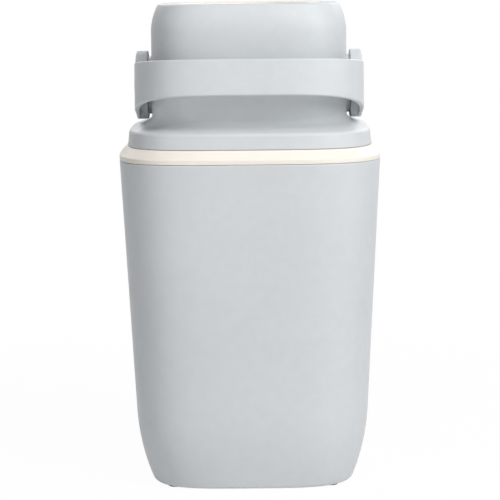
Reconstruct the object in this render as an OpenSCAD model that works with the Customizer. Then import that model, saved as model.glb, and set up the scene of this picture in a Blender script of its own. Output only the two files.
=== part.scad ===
// A nappy bin: a tapered bucket, a bag ring on its rim, and a hinged head that
// holds a rotary drum. A nappy goes down the throat into the drum's well, and the
// handle, flipped over from front to back, turns the well upside down, so that the
// weighted piston slides down and drops the nappy into the bag.
// Millimetres. +Z is up, the front faces -Y, and the origin is on the floor.

/* [Bucket] */
// Width, and depth, across the bucket's rim
rim_w = 273.4; // [260:0.2:290]
// Height of the bucket's rim above the floor
bucket_h = 341; // [300:1:400]
// Width where the straight wall starts to turn in to the base
waist_w = 246; // [236:1:252]
// Height of that turn above the floor
waist_z = 76; // [50:1:110]
// Width across the base
base_w = 215; // [190:1:224]
// Radius of the base's edge
base_edge_r = 4.5; // [2:0.5:6]
// Thickness of the bucket's wall
bucket_wall = 2.6; // [2:0.1:3.2]
// How far the middle of the underside is raised
base_recess = 3; // [2:0.5:6]
// Width of the flat band that the bucket stands on
base_band = 18; // [16:1:24]

/* [Feet] */
// Radius of a rubber foot pad
pad_r = 8; // [6:0.5:9]
// How far the pads stand out below the bucket
pad_drop = 1.5; // [1:0.1:2.5]
// Depth of the pocket that holds a pad
pad_pocket = 1.2; // [0.8:0.1:1.6]

/* [Bag ring] */
// Height of the ring's upright outer edge
ring_edge_h = 4.5; // [3:0.5:8]
// How far the ring's bevel goes in
ring_bevel_w = 8.2; // [6:0.2:11]
// How far the ring's bevel goes up
ring_bevel_h = 9.2; // [7:0.2:14]
// Width of the ledge that the head rests on
ring_ledge = 10.5; // [9:0.5:14]
// Depth of the skirt that holds the bag inside the bucket
ring_skirt_h = 23; // [14:1:40]
// Thickness of the ring's walls
ring_wall = 2.6; // [2:0.1:3.2]

/* [Head] */
// Step from the ring's bevel in to the head's flange
flange_step = 0.7; // [0.5:0.1:2.5]
// Height of the flange's upright side
flange_h = 13.5; // [12:0.5:20]
// How far the flange leans in over that height
flange_draft = 1.4; // [0:0.2:3]
// Radius of the flange's upper edge
flange_edge_r = 3.5; // [3:0.5:5]
// Slope of the shoulder above horizontal, in degrees
shoulder_slope = 20; // [12:1:26]
// Radius of the hollow curve from the shoulder to the neck
neck_fillet_r = 10; // [8:1:16]
// Radius of the wall's inward curve below the top
crown_r = 60; // [50:1:75]
// Angle that this curve turns through, in degrees
crown_angle = 28; // [22:1:32]
// Radius of the top's outer edge
top_edge_r = 2.8; // [2:0.1:3]
// Thickness of the head's wall
head_wall = 2.6; // [2.2:0.1:2.8]
// Thickness of the plate that closes the head below
base_plate_t = 2.6; // [2:0.1:3.2]
// Depth of the rim under that plate, which locates the head in the ring
plug_h = 8.6; // [6:0.2:12]

/* [Drum] */
// Radius of the drum's ball
ball_r = 80; // [76:0.5:86]
// Thickness of the drum's shell
drum_wall = 3; // [2.4:0.1:3.4]
// Radius of the well, where the nappy lies
well_r = 60; // [54:0.5:61]
// Thickness of the well's sleeve
sleeve_wall = 2.5; // [1.8:0.1:3]
// How much narrower than the well its mouths are, all round
mouth_lip = 2.5; // [1.5:0.1:4]
// How far the ball reaches below the head's flange
ball_drop = 19.7; // [10:0.1:20]
// Room between the ball and the top of the head
crown_gap = 5.7; // [2:0.1:8]
// Room beside the ball for its pivot hubs
hub_room = 22.3; // [20:0.1:28]

/* [Pivots] */
// Radius of a pivot hub
hub_r = 30.6; // [26:0.2:34]
// Radius of the stub on each side of the drum
stub_r = 35.4; // [34.4:0.2:37]
// Thickness of the bush round the hub
bush_wall = 3; // [2.4:0.1:3.6]
// How far the drum's stop lug stands out from its stub
lug_reach = 6.4; // [4:0.2:7]
// Radius of the locating spigot on the hub's inner end
spigot_r = 17.8; // [16:0.2:18.4]
// Corner radius of the hexagon that drives the drum
hex_r = 13; // [10:0.5:15]
// Length of that hexagon
hex_len = 4.5; // [3:0.5:5]
// Radius of the circle of screws through the hub
hub_screw_circle = 22.6; // [22:0.1:23.2]

/* [Handle] */
// Radius of the handle's round ears
ear_r = 36; // [33:0.5:36.5]
// Thickness of an ear at its edge
ear_t = 12.2; // [9:0.2:14]
// How far an ear's outer face bulges
ear_bulge = 2.9; // [2.4:0.1:4]
// Gap between the neck and an ear
ear_gap = 4.2; // [3.5:0.1:6]
// Height of the band at the front
band_h = 36.6; // [28:0.2:40]
// Twice the band's height above its middle where it leaves the ears
band_root_h = 40.4; // [36:0.2:44]
// Thickness of the band
band_t = 5; // [4:0.2:6]
// How far the band tilts up at rest, in degrees
handle_tilt = 5.7; // [0:0.1:8]

/* [Piston] */
// Height of the piston
piston_h = 24; // [20:0.5:30]
// Room between the piston's wall and the well
piston_gap = 1.2; // [0.8:0.1:1.6]
// Radius of the steel weight
weight_r = 48; // [30:1:50]
// Thickness of the steel weight
weight_t = 5; // [3:0.5:10]
// Height of the wiper round the piston
wiper_h = 6; // [4:0.5:8]

/* [Hinge] */
// Radius of the hinge's knuckles
knuckle_r = 4.5; // [4:0.1:4.8]
// Radius of the hinge pin
pin_r = 1.75; // [1.5:0.05:2.2]
// Length of the knuckle on the head
head_knuckle_l = 56; // [30:2:70]
// Length of each knuckle on the ring
ring_knuckle_l = 18; // [10:1:24]

/* [Fits] */
// Gap between parts that rest on or turn in each other
fit = 0.3; // [0.2:0.05:0.4]
// Room for the bag's film between the bucket and the ring's skirt
film_gap = 0.6; // [0.4:0.1:0.9]
// Squareness of every outline: 2 is a circle, and more is squarer
squareness = 3.8; // [3.4:0.1:4.6]

/* [Hidden] */
$fn = 96;
section_steps = 60;          // points round each outline
arc_steps = 5;               // points along each small arc
eps = 0.01;

// Screws: shank and head radii, and head heights.
screw_r = 2;
screw_head_r = 3.6;
screw_head_h = 2.4;
hole_gap = 0.2;              // room round a screw's shank

// Levels and half widths that several parts share.
rim_half = rim_w / 2;
waist_half = waist_w / 2;
base_half = base_w / 2;
wall_lean = atan((rim_half - waist_half) / (bucket_h - waist_z));
foot_z = pad_drop;                                  // underside of the bucket
ring_z = bucket_h + fit;                            // underside of the ring's edge
ring_top_z = ring_z + ring_edge_h + ring_bevel_h;
ring_top_half = rim_half - ring_bevel_w;
ledge_half = ring_top_half - ring_ledge;            // the ring's opening
head_z = ring_top_z + fit;
flange_half = ring_top_half - flange_step;
plate_z = head_z + 2.3;                             // underside of the head's base plate
seal_rise = sqrt(ball_r * ball_r - well_r * well_r) + 3;   // seat of each seal, from the pivot
seat_t = 1.8;                                       // least thickness under the lower seal
pivot_z = max(head_z + ball_r - ball_drop, plate_z + seat_t + seal_rise);
neck_half = ball_r + hub_room;
top_z = pivot_z + ball_r + crown_gap;
shoulder_half = flange_half - flange_draft - flange_edge_r;

// The drum.
inner_ball_r = ball_r - drum_wall;
mouth_r = well_r - mouth_lip;
mouth_rise = sqrt(ball_r * ball_r - (mouth_r + 2) * (mouth_r + 2));
stub_x = ball_r + 2;                                // end face of the drum's side stubs
seal_in_r = well_r + 1;
seal_out_r = well_r + 6;
seal_h = 8;
throat_r = well_r + 0.8;

// The pivots.
stub_plate = 4;                                     // thickness of the stub's end plate
lug_r = stub_r + lug_reach;
lug_angle = 7;                                      // half the angle that the stop lug covers
hub_web = 6;                                        // thickness of the hub's inner end
bush_x = stub_x + fit + 0.1;                        // inner end of the bush
bush_in_r = hub_r + fit;
bush_out_r = bush_in_r + bush_wall;
bush_pad_x = neck_half - head_wall - 2;             // flat pad inside the neck for the bush
ear_x = neck_half + ear_gap;                        // inner face of an ear
hub_end_x = ear_x - 0.2;
ear_edge_x = ear_x + ear_t;
ear_top_x = ear_edge_x + ear_bulge;                 // middle of an ear's outer face
cap_r = 12;
cap_t = 2.8;
ear_web = 2.6;                                      // wall between the hexagon and the screw's head

// The handle.
// The band's lower front edge is in line with the bucket's rim.
band_out_x = ear_top_x - 1.4;
band_out_y = (rim_half - band_h / 2 * sin(handle_tilt)) / cos(handle_tilt);

// The piston.
piston_r = well_r - piston_gap;
piston_low = -sqrt(pow(inner_ball_r - fit, 2) - piston_r * piston_r);   // from the pivot
piston_wall = 2.6;
piston_travel = -2 * piston_low - piston_h;

// The hinge.
hinge_y = rim_half - knuckle_r;
hinge_z = head_z + 6.7;
lug_x = head_knuckle_l / 2 + 1;

// The base plate under the head.
plate_half = flange_half - flange_draft * 0.5 - head_wall - 0.4;
plug_half = ledge_half - 1.1;
plug_wall = 2.2;
boss_r = 3.8;
boss_web_t = 2;                                     // web that ties a boss to the flange
screw_inset = 4.9;                                  // from the plug's inner wall to a screw's head
boss_half = plug_half - plug_wall - screw_head_r - screw_inset;
boss_top = shoulder_top(boss_half) - head_wall / cos(shoulder_slope) + 0.6;
seat_low_z = pivot_z - seal_rise;

// ---- Outlines and lofts ----

// A point of the rounded square of a half width, at angle t. n is its squareness.
function squircle(half, t, n = squareness) =
    [half * sign(cos(t)) * pow(abs(cos(t)), 2 / n),
     half * sign(sin(t)) * pow(abs(sin(t)), 2 / n)];

function outline(half, n = squareness) =
    [for (i = [0 : section_steps - 1]) squircle(half, 360 * i / section_steps, n)];

// Points of an arc in a side profile: [half width, height].
function arc(centre, r, from, to, steps = arc_steps) =
    [for (i = [0 : steps]) let (a = from + (to - from) * i / steps)
        centre + r * [cos(a), sin(a)]];

function reversed(list) = [for (i = [len(list) - 1 : -1 : 0]) list[i]];

// The faces between one outline and the next, two triangles for each step.
function band_faces(low, high) =
    [for (i = [0 : section_steps - 1])
        let (j = (i + 1) % section_steps,
             a = low * section_steps + i, b = low * section_steps + j,
             c = high * section_steps + j, d = high * section_steps + i)
        each [[a, d, c], [a, c, b]]];

// A level is [half width, height], or [half width, height, squareness].
function level_points(levels) =
    [for (l = levels) each [for (p = outline(l[0], is_undef(l[2]) ? squareness : l[2]))
        [p[0], p[1], l[1]]]];

// A closed band: up its outside, over its top and down its inside.
module loft_ring(levels) {
    count = len(levels);
    polyhedron(level_points(levels),
        [for (k = [0 : count - 1]) each band_faces(k, (k + 1) % count)], convexity = 6);
}

// A cup: its first outline is closed by the underside, and its last by the inner floor.
module loft_cup(levels) {
    count = len(levels);
    first = [for (i = [0 : section_steps - 1]) i];
    last = [for (i = [section_steps - 1 : -1 : 0]) (count - 1) * section_steps + i];
    polyhedron(level_points(levels),
        [first, each [for (k = [0 : count - 2]) each band_faces(k, k + 1)], last],
        convexity = 6);
}

module squircle_plate(half, t) {
    linear_extrude(t) polygon(outline(half));
}

// Puts its children on the pivot's axis, with their +Z along side * X.
module on_axis(side) {
    translate([0, 0, pivot_z]) rotate([0, side * 90, 0]) children();
}

// A tube from x0 to x1 of the pivot's axis.
module axle_ring(r_in, r_out, x0, x1) {
    translate([0, 0, x0]) difference() {
        cylinder(r = r_out, h = x1 - x0);
        translate([0, 0, -1]) cylinder(r = r_in, h = x1 - x0 + 2);
    }
}

module ball(r) {
    translate([0, 0, pivot_z]) sphere(r = r, $fn = 128);
}

// ---- Bucket ----

// The curve that turns the wall in to the base starts along the wall's own lean
// and ends at the base's edge.
turn_start = [waist_half, waist_z];
turn_end = [base_half, foot_z + 0.58 * base_edge_r];
turn_chord = turn_end - turn_start;
turn_inward = [-cos(wall_lean), sin(wall_lean)];
turn_r = (turn_chord * turn_chord) / (2 * turn_chord * turn_inward);
turn_angle = 2 * asin(norm(turn_chord) / (2 * turn_r));
end_lean = wall_lean + turn_angle;

function wall_profile(inset) = arc(turn_start + turn_r * turn_inward, turn_r - inset,
    -end_lean, -wall_lean, 8);

module bucket() {
    edge_centre = turn_end + base_edge_r * [-cos(end_lean), sin(end_lean)];
    band_half = base_half - base_band;
    floor_z = foot_z + base_recess + bucket_wall;
    inner_wall = [for (p = wall_profile(bucket_wall)) if (p[1] > floor_z + 5) p];
    floor_half = inner_wall[0][0] - 1.5;
    color([0.79, 0.81, 0.83]) difference() {
        loft_cup([
            [band_half - 4, foot_z + base_recess],
            [band_half - 1, foot_z + base_recess],
            [band_half, foot_z],
            each arc(edge_centre, base_edge_r, -90, -end_lean - 8, 3),
            each wall_profile(0),
            [rim_half, bucket_h - 0.8],
            [rim_half - 0.8, bucket_h],
            [rim_half - bucket_wall, bucket_h],
            each reversed(inner_wall),
            [floor_half - 0.4, floor_z + 2.4],
            [floor_half - 3, floor_z]
        ]);
        foot_places() translate([0, 0, foot_z - 1]) cylinder(r = pad_r + 0.2, h = 1 + pad_pocket);
    }
}

module foot_places() {
    for (k = [0 : 3]) translate(squircle(base_half - base_band / 2 - 1.5, 45 + 90 * k)) children();
}

module foot_pads() {
    color([0.35, 0.36, 0.38]) foot_places() union() {
        translate([0, 0, 0.6]) cylinder(r = pad_r, h = pad_drop + pad_pocket - 0.6);
        cylinder(r1 = pad_r - 0.6, r2 = pad_r, h = 0.6);
    }
}

// ---- Bag ring ----

module bag_ring() {
    skirt_out = rim_half - bucket_wall - film_gap;
    skirt_in = skirt_out - ring_wall;
    skirt_low = ring_z - ring_skirt_h;
    skirt_lean = (rim_half - waist_half) / (bucket_h - waist_z) * ring_skirt_h;
    // Inside the bevel the wall keeps its thickness.
    bevel_lean = ring_bevel_w / ring_bevel_h;
    bevel_in = rim_half - ring_wall * sqrt(1 + bevel_lean * bevel_lean);
    bevel_z = ring_z + ring_edge_h;
    color([0.95, 0.93, 0.89]) difference() {
        union() {
            loft_ring([
                [rim_half, ring_z],
                [rim_half, ring_z + ring_edge_h - 0.8],
                [rim_half - 0.5, ring_z + ring_edge_h],
                [ring_top_half + 0.5, ring_top_z - 0.5],
                [ring_top_half - 0.4, ring_top_z],
                [ledge_half, ring_top_z],
                [ledge_half, ring_top_z - ring_wall],
                [bevel_in - (ring_top_z - ring_wall - bevel_z) * bevel_lean, ring_top_z - ring_wall],
                [skirt_in, bevel_z + (bevel_in - skirt_in) / bevel_lean],
                [skirt_in - skirt_lean, skirt_low + 0.6],
                [skirt_in - skirt_lean + 0.6, skirt_low],
                [skirt_out - skirt_lean - 0.6, skirt_low],
                [skirt_out - skirt_lean, skirt_low + 0.6],
                [skirt_out, ring_z]
            ]);
            for (side = [-1, 1]) ring_knuckle(side);
        }
        hinge_bore(pin_r + 0.05);
    }
}

// One of the two ears at the back that hold the hinge pin.
module ring_knuckle(side) {
    x0 = side > 0 ? lug_x : -lug_x - ring_knuckle_l;
    foot = ring_z + ring_edge_h - 1;
    hull() {
        translate([x0, hinge_y, hinge_z]) rotate([0, 90, 0])
            cylinder(r = knuckle_r, h = ring_knuckle_l, $fn = 32);
        translate([x0, hinge_y - 3.6, foot]) cube([ring_knuckle_l, 6.6, 1]);
    }
}

module hinge_bore(r) {
    length = head_knuckle_l + 2 * ring_knuckle_l + 20;
    translate([-length / 2, hinge_y, hinge_z]) rotate([0, 90, 0]) cylinder(r = r, h = length);
}

module hinge_pin() {
    length = head_knuckle_l + 2 * ring_knuckle_l;
    color([0.7, 0.71, 0.73]) translate([-length / 2, hinge_y, hinge_z]) rotate([0, 90, 0])
        union() {
            cylinder(r = pin_r, h = length);
            translate([0, 0, -0.8]) cylinder(r1 = pin_r - 0.5, r2 = pin_r, h = 0.8);
            translate([0, 0, length]) cylinder(r1 = pin_r, r2 = pin_r - 0.5, h = 0.8);
        }
}

// ---- Head ----

// Height of the sloping shoulder at a half width of the head.
function shoulder_top(half) = head_z + flange_h + flange_edge_r / cos(shoulder_slope)
    + (shoulder_half - half) * tan(shoulder_slope);

// The head's side profile, from its bottom edge up to its top, set in by a wall.
function head_profile(inset) =
    let (edge_z = head_z + flange_h,
         slope_dir = [-cos(shoulder_slope), sin(shoulder_slope)],
         slope_out = [sin(shoulder_slope), cos(shoulder_slope)],
         edge_centre = [shoulder_half, edge_z],
         slope_start = edge_centre + flange_edge_r * slope_out,
         // A narrow shoulder takes a smaller fillet.
         fillet_r = min(neck_fillet_r,
             0.95 * (slope_start[0] - neck_half) / (1 - sin(shoulder_slope))),
         run = (slope_start[0] + fillet_r * slope_out[0] - neck_half - fillet_r)
             / cos(shoulder_slope),
         fillet_centre = slope_start + run * slope_dir + fillet_r * slope_out,
         crown_z = top_z - top_edge_r * (1 - sin(crown_angle)) - crown_r * sin(crown_angle),
         crown_centre = [neck_half - crown_r, crown_z],
         rim_r = max(top_edge_r - inset, 0.3),
         rim_centre = crown_centre + (crown_r - top_edge_r) * [cos(crown_angle), sin(crown_angle)])
    [[flange_half - inset, head_z],
     each arc(edge_centre, flange_edge_r - inset, 6, 90 - shoulder_slope, 4),
     each arc(fillet_centre, fillet_r + inset, 270 - shoulder_slope, 180, 5),
     each arc(crown_centre, crown_r - inset, 0, crown_angle, 5),
     each arc(rim_centre + [0, -inset + top_edge_r - rim_r], rim_r, crown_angle + 20, 90, 2)];

module head_shell() {
    rebate_r = throat_r + 16.2;
    rebate = 1.8;
    color([0.79, 0.81, 0.83]) difference() {
        union() {
            loft_ring([
                each head_profile(0),
                [rebate_r, top_z, 2],
                [rebate_r, top_z - rebate, 2],
                [rebate_r - 3.5, top_z - rebate, 2],
                [rebate_r - 3.5, top_z - rebate - head_wall, 2],
                [rebate_r - 0.5, top_z - rebate - head_wall, 2.4],
                each reversed(head_profile(head_wall))
            ]);
            for (k = [0 : 7]) translate(concat(squircle(boss_half, 45 * k), plate_z + base_plate_t))
                cylinder(r = boss_r, h = boss_top - plate_z - base_plate_t);
            for (k = [0 : 7]) rotate([0, 0, 45 * k]) boss_web(45 * k);
            for (side = [-1, 1]) on_axis(side) translate([0, 0, bush_pad_x])
                cylinder(r = lug_r + 1, h = neck_half - 1 - bush_pad_x);
            head_knuckle();
        }
        hinge_bore(pin_r + 0.1);
        for (side = [-1, 1]) on_axis(side) translate([0, 0, bush_pad_x - 1]) {
            cylinder(r = bush_out_r + 0.2, h = 20);
            bush_peg_places() cylinder(r = 1.7, h = 3.2);
        }
        for (k = [0 : 7]) translate(concat(squircle(boss_half, 45 * k), plate_z))
            cylinder(r = screw_r + 0.05, h = boss_top - plate_z - 2.5);
    }
}

// The web from a screw boss out to the flange, above the base plate.
module boss_web(angle) {
    inner = norm(squircle(boss_half, angle));
    outer = norm(squircle(flange_half - flange_draft - head_wall / 2, angle));
    low = plate_z + base_plate_t + fit;
    translate([inner, -boss_web_t / 2, low])
        cube([outer - inner, boss_web_t, head_z + flange_h - 2 - low]);
}

module head_knuckle() {
    translate([-head_knuckle_l / 2, hinge_y, hinge_z]) rotate([0, 90, 0])
        cylinder(r = knuckle_r, h = head_knuckle_l);
    translate([-head_knuckle_l / 2, flange_half - 2.2, hinge_z - knuckle_r + 1])
        cube([head_knuckle_l, hinge_y - flange_half + 2.2, 2 * knuckle_r - 2]);
}

// The funnel in the top of the head. Its foot holds the upper seal.
module throat_collar() {
    rise = top_z - pivot_z;
    spigot = throat_r + 12.3;
    wall = seal_out_r + 3;
    color([0.95, 0.93, 0.89]) translate([0, 0, pivot_z]) rotate_extrude() polygon([
        [throat_r + 15.3, rise - 0.4],
        [throat_r + 14.9, rise],
        each arc([throat_r + 10.6, rise - 2], 2, 90, 150, 3),
        [throat_r + 5, rise - 9],
        [throat_r + 1.4, rise - 16],
        [throat_r, rise - 22],
        [throat_r, seal_rise],
        [seal_out_r + 0.2, seal_rise],
        [seal_out_r + 0.2, seal_rise - 5],
        [wall, seal_rise - 5],
        [wall, rise - 14],
        [spigot, rise - 6.4],
        [spigot + 1.1, rise - 5.4],
        [spigot, rise - 4.7],
        [spigot, rise - 1.8],
        [throat_r + 15.3, rise - 1.8]
    ]);
}

// A lip seal above or below the ball, cut to the ball's curve.
module lip_seal(up) {
    color([0.86, 0.87, 0.88]) difference() {
        translate([0, 0, up > 0 ? pivot_z + seal_rise - seal_h : pivot_z - seal_rise])
            difference() {
                cylinder(r = seal_out_r, h = seal_h);
                translate([0, 0, -1]) cylinder(r = seal_in_r, h = seal_h + 2);
            }
        ball(ball_r + fit);
    }
}

// The plate that closes the head below, with the outlet that holds the lower seal.
module head_base() {
    low = plate_z;
    color([0.79, 0.81, 0.83]) difference() {
        union() {
            translate([0, 0, low]) squircle_plate(plate_half, base_plate_t);
            translate([0, 0, low - plug_h]) difference() {
                squircle_plate(plug_half, plug_h + 1);
                translate([0, 0, -1]) squircle_plate(plug_half - plug_wall, plug_h + 1);
            }
            translate([0, 0, low]) cylinder(r = seal_out_r + 3, h = seat_low_z - low + 5);
            for (a = [0 : 45 : 315]) rotate([0, 0, a + 22.5]) translate([seal_out_r + 2, -1, low])
                cube([plate_half - seal_out_r - 8, 2, base_plate_t + 3]);
        }
        translate([0, 0, low - 1]) cylinder(r = throat_r, h = 60);
        translate([0, 0, seat_low_z]) cylinder(r = seal_out_r + 0.2, h = 40);
        for (k = [0 : 7]) translate(concat(squircle(boss_half, 45 * k), low - 1))
            cylinder(r = screw_r + hole_gap, h = 20);
    }
}

module head_gasket() {
    color([0.86, 0.87, 0.88]) translate([0, 0, head_z]) difference() {
        squircle_plate(plate_half - 0.8, plate_z - head_z);
        translate([0, 0, -1]) squircle_plate(plug_half + 0.8, plate_z - head_z + 2);
    }
}

// A pan-headed screw, its head's underside at the origin and its shank along +Z.
module screw(length) {
    translate([0, 0, -screw_head_h]) difference() {
        union() {
            translate([0, 0, 0.8]) cylinder(r = screw_head_r, h = screw_head_h - 0.8);
            cylinder(r1 = screw_head_r - 0.7, r2 = screw_head_r, h = 0.8);
        }
        translate([0, 0, -1]) cylinder(r = 1.5, h = 2.2, $fn = 6);
    }
    cylinder(r = screw_r, h = length - 1);
    translate([0, 0, length - 1]) cylinder(r1 = screw_r, r2 = 0.9, h = 1);
}

module base_screws() {
    length = boss_top - plate_z - 3.5;
    color([0.7, 0.71, 0.73]) for (k = [0 : 7])
        translate(concat(squircle(boss_half, 45 * k), plate_z)) screw(length);
}

// The bearing bush in the neck's side. Its rail, in front of the drum's lug, is the stop
// at both ends of the handle's travel.
module pivot_bush(side) {
    play = 0.8;
    color([0.93, 0.93, 0.92]) on_axis(side) {
        axle_ring(bush_in_r, bush_out_r, bush_x, neck_half - 0.3);
        axle_ring(bush_out_r - 1, lug_r, bush_pad_x - 3.05, bush_pad_x - 0.05);
        rotate([0, 0, 180 + lug_angle + play]) rotate_extrude(angle = 180 - 2 * (lug_angle + play))
            translate([stub_r + 1, stub_x - stub_plate - 1])
                square([lug_reach - 1, bush_pad_x - 0.05 - (stub_x - stub_plate - 1)]);
        bush_peg_places() translate([0, 0, bush_pad_x - 1]) cylinder(r = 1.5, h = 3);
    }
}

module bush_peg_places() {
    for (a = [90, 270]) rotate([0, 0, a]) translate([lug_r - 2.4, 0, 0]) children();
}

// ---- Drum ----

// One half of the drum's ball, above or below the pivot's axis.
module drum_half(up) {
    color([0.84, 0.86, 0.87]) difference() {
        union() {
            intersection() {
                difference() {
                    drum_form(ball_r, stub_r, stub_x);
                    drum_form(inner_ball_r, stub_r - drum_wall, stub_x - stub_plate);
                }
                half_space(up, mouth_rise);
            }
            intersection() {
                for (side = [-1, 1]) on_axis(side) {
                    axle_ring(spigot_r, spigot_r + drum_wall, stub_x - 9, stub_x - 1);
                    hub_screw_places() translate([0, 0, stub_x - 15]) cylinder(r = 4, h = 14);
                }
                half_space(up, stub_r + 5);
            }
            if (up > 0) for (side = [-1, 1]) stop_lug(side);
        }
        translate([0, 0, pivot_z - ball_r]) cylinder(r = mouth_r, h = 2 * ball_r);
        for (side = [-1, 1]) on_axis(side) {
            translate([0, 0, stub_x - 20]) cylinder(r = spigot_r + 0.2, h = 21);
            hub_screw_places() translate([0, 0, stub_x - 16]) cylinder(r = screw_r + 0.05, h = 17);
        }
    }
}

// A ball with a round stub on each side.
module drum_form(r, side_r, side_x) {
    ball(r);
    translate([-side_x, 0, pivot_z]) rotate([0, 90, 0]) cylinder(r = side_r, h = 2 * side_x);
}

// The space above or below the pivot's plane, out to a height, less half the joint's gap.
module half_space(up, reach) {
    gap = 0.05;
    translate([0, 0, up > 0 ? pivot_z + gap : pivot_z - reach])
        cylinder(r = 2 * ball_r, h = reach - gap);
}

// The lug on the drum's stub that meets the bush's rail. It points up at rest.
module stop_lug(side) {
    on_axis(side) rotate([0, 0, (side > 0 ? 180 : 0) - lug_angle]) rotate_extrude(angle = 2 * lug_angle)
        translate([stub_r - 1, stub_x - stub_plate]) square([lug_reach + 0.6, stub_plate]);
}

module hub_screw_places() {
    for (a = [45 : 90 : 315]) rotate([0, 0, a]) translate([hub_screw_circle, 0, 0]) children();
}

// The tube that lines the well. Its ends follow the inside of the ball.
module well_sleeve() {
    color([0.95, 0.93, 0.89]) difference() {
        intersection() {
            translate([0, 0, pivot_z - ball_r]) cylinder(r = well_r + sleeve_wall, h = 2 * ball_r);
            ball(inner_ball_r - 0.1);
        }
        translate([0, 0, pivot_z - ball_r - 1]) cylinder(r = well_r, h = 2 * ball_r + 2);
    }
}

// A hub that carries the drum: a cup with a hexagonal post in the middle, which
// goes into the handle's ear.
module pivot_hub(side) {
    color([0.93, 0.93, 0.92]) on_axis(side) difference() {
        union() {
            axle_ring(spigot_r - 3, spigot_r, stub_x - 8, stub_x + 1);
            translate([0, 0, stub_x]) cylinder(r = hub_r, h = hub_web);
            axle_ring(hub_r - 3, hub_r, stub_x + 1, hub_end_x);
            translate([0, 0, stub_x + 1]) cylinder(r = hex_r, h = ear_x + hex_len - stub_x - 1, $fn = 6);
        }
        hub_screw_places() translate([0, 0, stub_x - 1]) cylinder(r = screw_r + hole_gap, h = 20);
        translate([0, 0, ear_x + hex_len - 14]) cylinder(r = screw_r + 0.05, h = 20);
    }
}

module hub_screws() {
    color([0.7, 0.71, 0.73]) for (side = [-1, 1]) on_axis(side) hub_screw_places()
        translate([0, 0, stub_x + hub_web]) rotate([180, 0, 0]) screw(17);
}

// ---- Handle ----

// The plan of the band: the front half of a rounded oblong, with its inner side.
function band_side(out) = [for (i = [0 : 28]) let (t = 180 + 180 * i / 28)
    [squircle(band_out_x - band_t * (1 - out), t)[0],
     squircle(band_out_y - band_t * (1 - out), t)[1]]];

// The side view of the band. Its lower edge runs on from the ear's round edge, and its
// upper edge meets the ear at an angle.
module band_profile() {
    half_root = band_root_h / 2;
    front = [band_out_y, -band_h / 2];
    touch_angle = atan2(front[1], front[0]) - acos(ear_r / norm(front));
    reach = band_out_y + 5;
    polygon([
        [0, 0],
        [sqrt(pow(ear_r - 1, 2) - half_root * half_root), half_root],
        [reach, band_h / 2],
        [reach, front[1]],
        front,
        (ear_r - 0.05) * [cos(touch_angle), sin(touch_angle)]
    ]);
}

// The outer face of an ear: how far out it is at a radius.
ear_dome_r = (ear_r * ear_r + ear_bulge * ear_bulge) / (2 * ear_bulge);
function ear_face(r) = ear_top_x - ear_dome_r + sqrt(ear_dome_r * ear_dome_r - r * r);

module ear(side) {
    rotate([0, side * 90, 0]) rotate_extrude() polygon([
        [0, ear_x],
        [hex_r + 3, ear_x],
        [hex_r + 3, ear_x + ear_t - 2],
        [hub_r - 4, ear_x + ear_t - 2],
        [hub_r - 4, ear_x],
        [ear_r - 1, ear_x],
        [ear_r, ear_x + 1],
        [ear_r, ear_edge_x - 0.6],
        [ear_r - 0.7, ear_face(ear_r - 1.5)],
        [ear_r - 2.5, ear_face(ear_r - 2.5)],
        for (k = [7 : -1 : 0]) let (r = (ear_r - 4) * k / 7) [r, ear_face(r)]
    ]);
}

module handle() {
    color([0.79, 0.81, 0.83]) translate([0, 0, pivot_z]) rotate([-handle_tilt, 0, 0]) difference() {
        union() {
            intersection() {
                translate([0, 0, -ear_r]) linear_extrude(2 * ear_r)
                    polygon(concat(band_side(1), reversed(band_side(0))));
                rotate([90, 0, -90]) translate([0, 0, -200]) linear_extrude(400)
                    band_profile();
            }
            for (side = [-1, 1]) ear(side);
        }
        for (side = [-1, 1]) rotate([0, side * 90, 0]) {
            rotate([0, 0, side * handle_tilt]) translate([0, 0, ear_x - 1])
                cylinder(r = hex_r + fit, h = hex_len + 1 + fit, $fn = 6);
            cylinder(r = screw_r + hole_gap, h = ear_top_x + 5);
            translate([0, 0, ear_x + hex_len + fit + ear_web]) cylinder(r = screw_head_r + 0.5, h = 20);
            translate([0, 0, ear_top_x - cap_t]) cylinder(r = cap_r + 0.2, h = 20);
        }
    }
}

module handle_screws() {
    color([0.7, 0.71, 0.73]) for (side = [-1, 1]) on_axis(side)
        translate([0, 0, ear_x + hex_len + fit + ear_web]) rotate([180, 0, 0]) screw(15);
}

module handle_cap(side) {
    color([0.76, 0.78, 0.8]) on_axis(side) rotate_extrude() polygon([
        [0, ear_top_x - cap_t],
        for (k = [4 : -1 : 0]) let (r = cap_r * k / 4) if (k == 4) each [[r, ear_top_x - cap_t],
            [r, ear_face(r)]] else [r, ear_face(r)]
    ]);
}

// ---- Piston ----

module at_piston() {
    translate([0, 0, pivot_z + piston_low]) children();
}

module piston_cup() {
    groove_z = (piston_h - wiper_h) / 2;
    groove_r = piston_r - 2.4;
    color([0.84, 0.86, 0.87]) at_piston() difference() {
        cylinder(r = piston_r, h = piston_h - piston_wall);
        translate([0, 0, piston_wall]) cylinder(r = weight_r + fit, h = piston_h);
        translate([0, 0, groove_z]) difference() {
            cylinder(r = piston_r + 1, h = wiper_h);
            translate([0, 0, -1]) cylinder(r = groove_r, h = wiper_h + 2);
        }
        for (a = [0 : 30 : 330]) rotate([0, 0, a]) translate([(weight_r + piston_r) / 2, 0, piston_h - piston_wall - 3])
            cylinder(r = 1.6, h = 5);
    }
}

module piston_weight() {
    color([0.62, 0.63, 0.65]) at_piston() translate([0, 0, piston_wall])
        cylinder(r = weight_r, h = weight_t);
}

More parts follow.
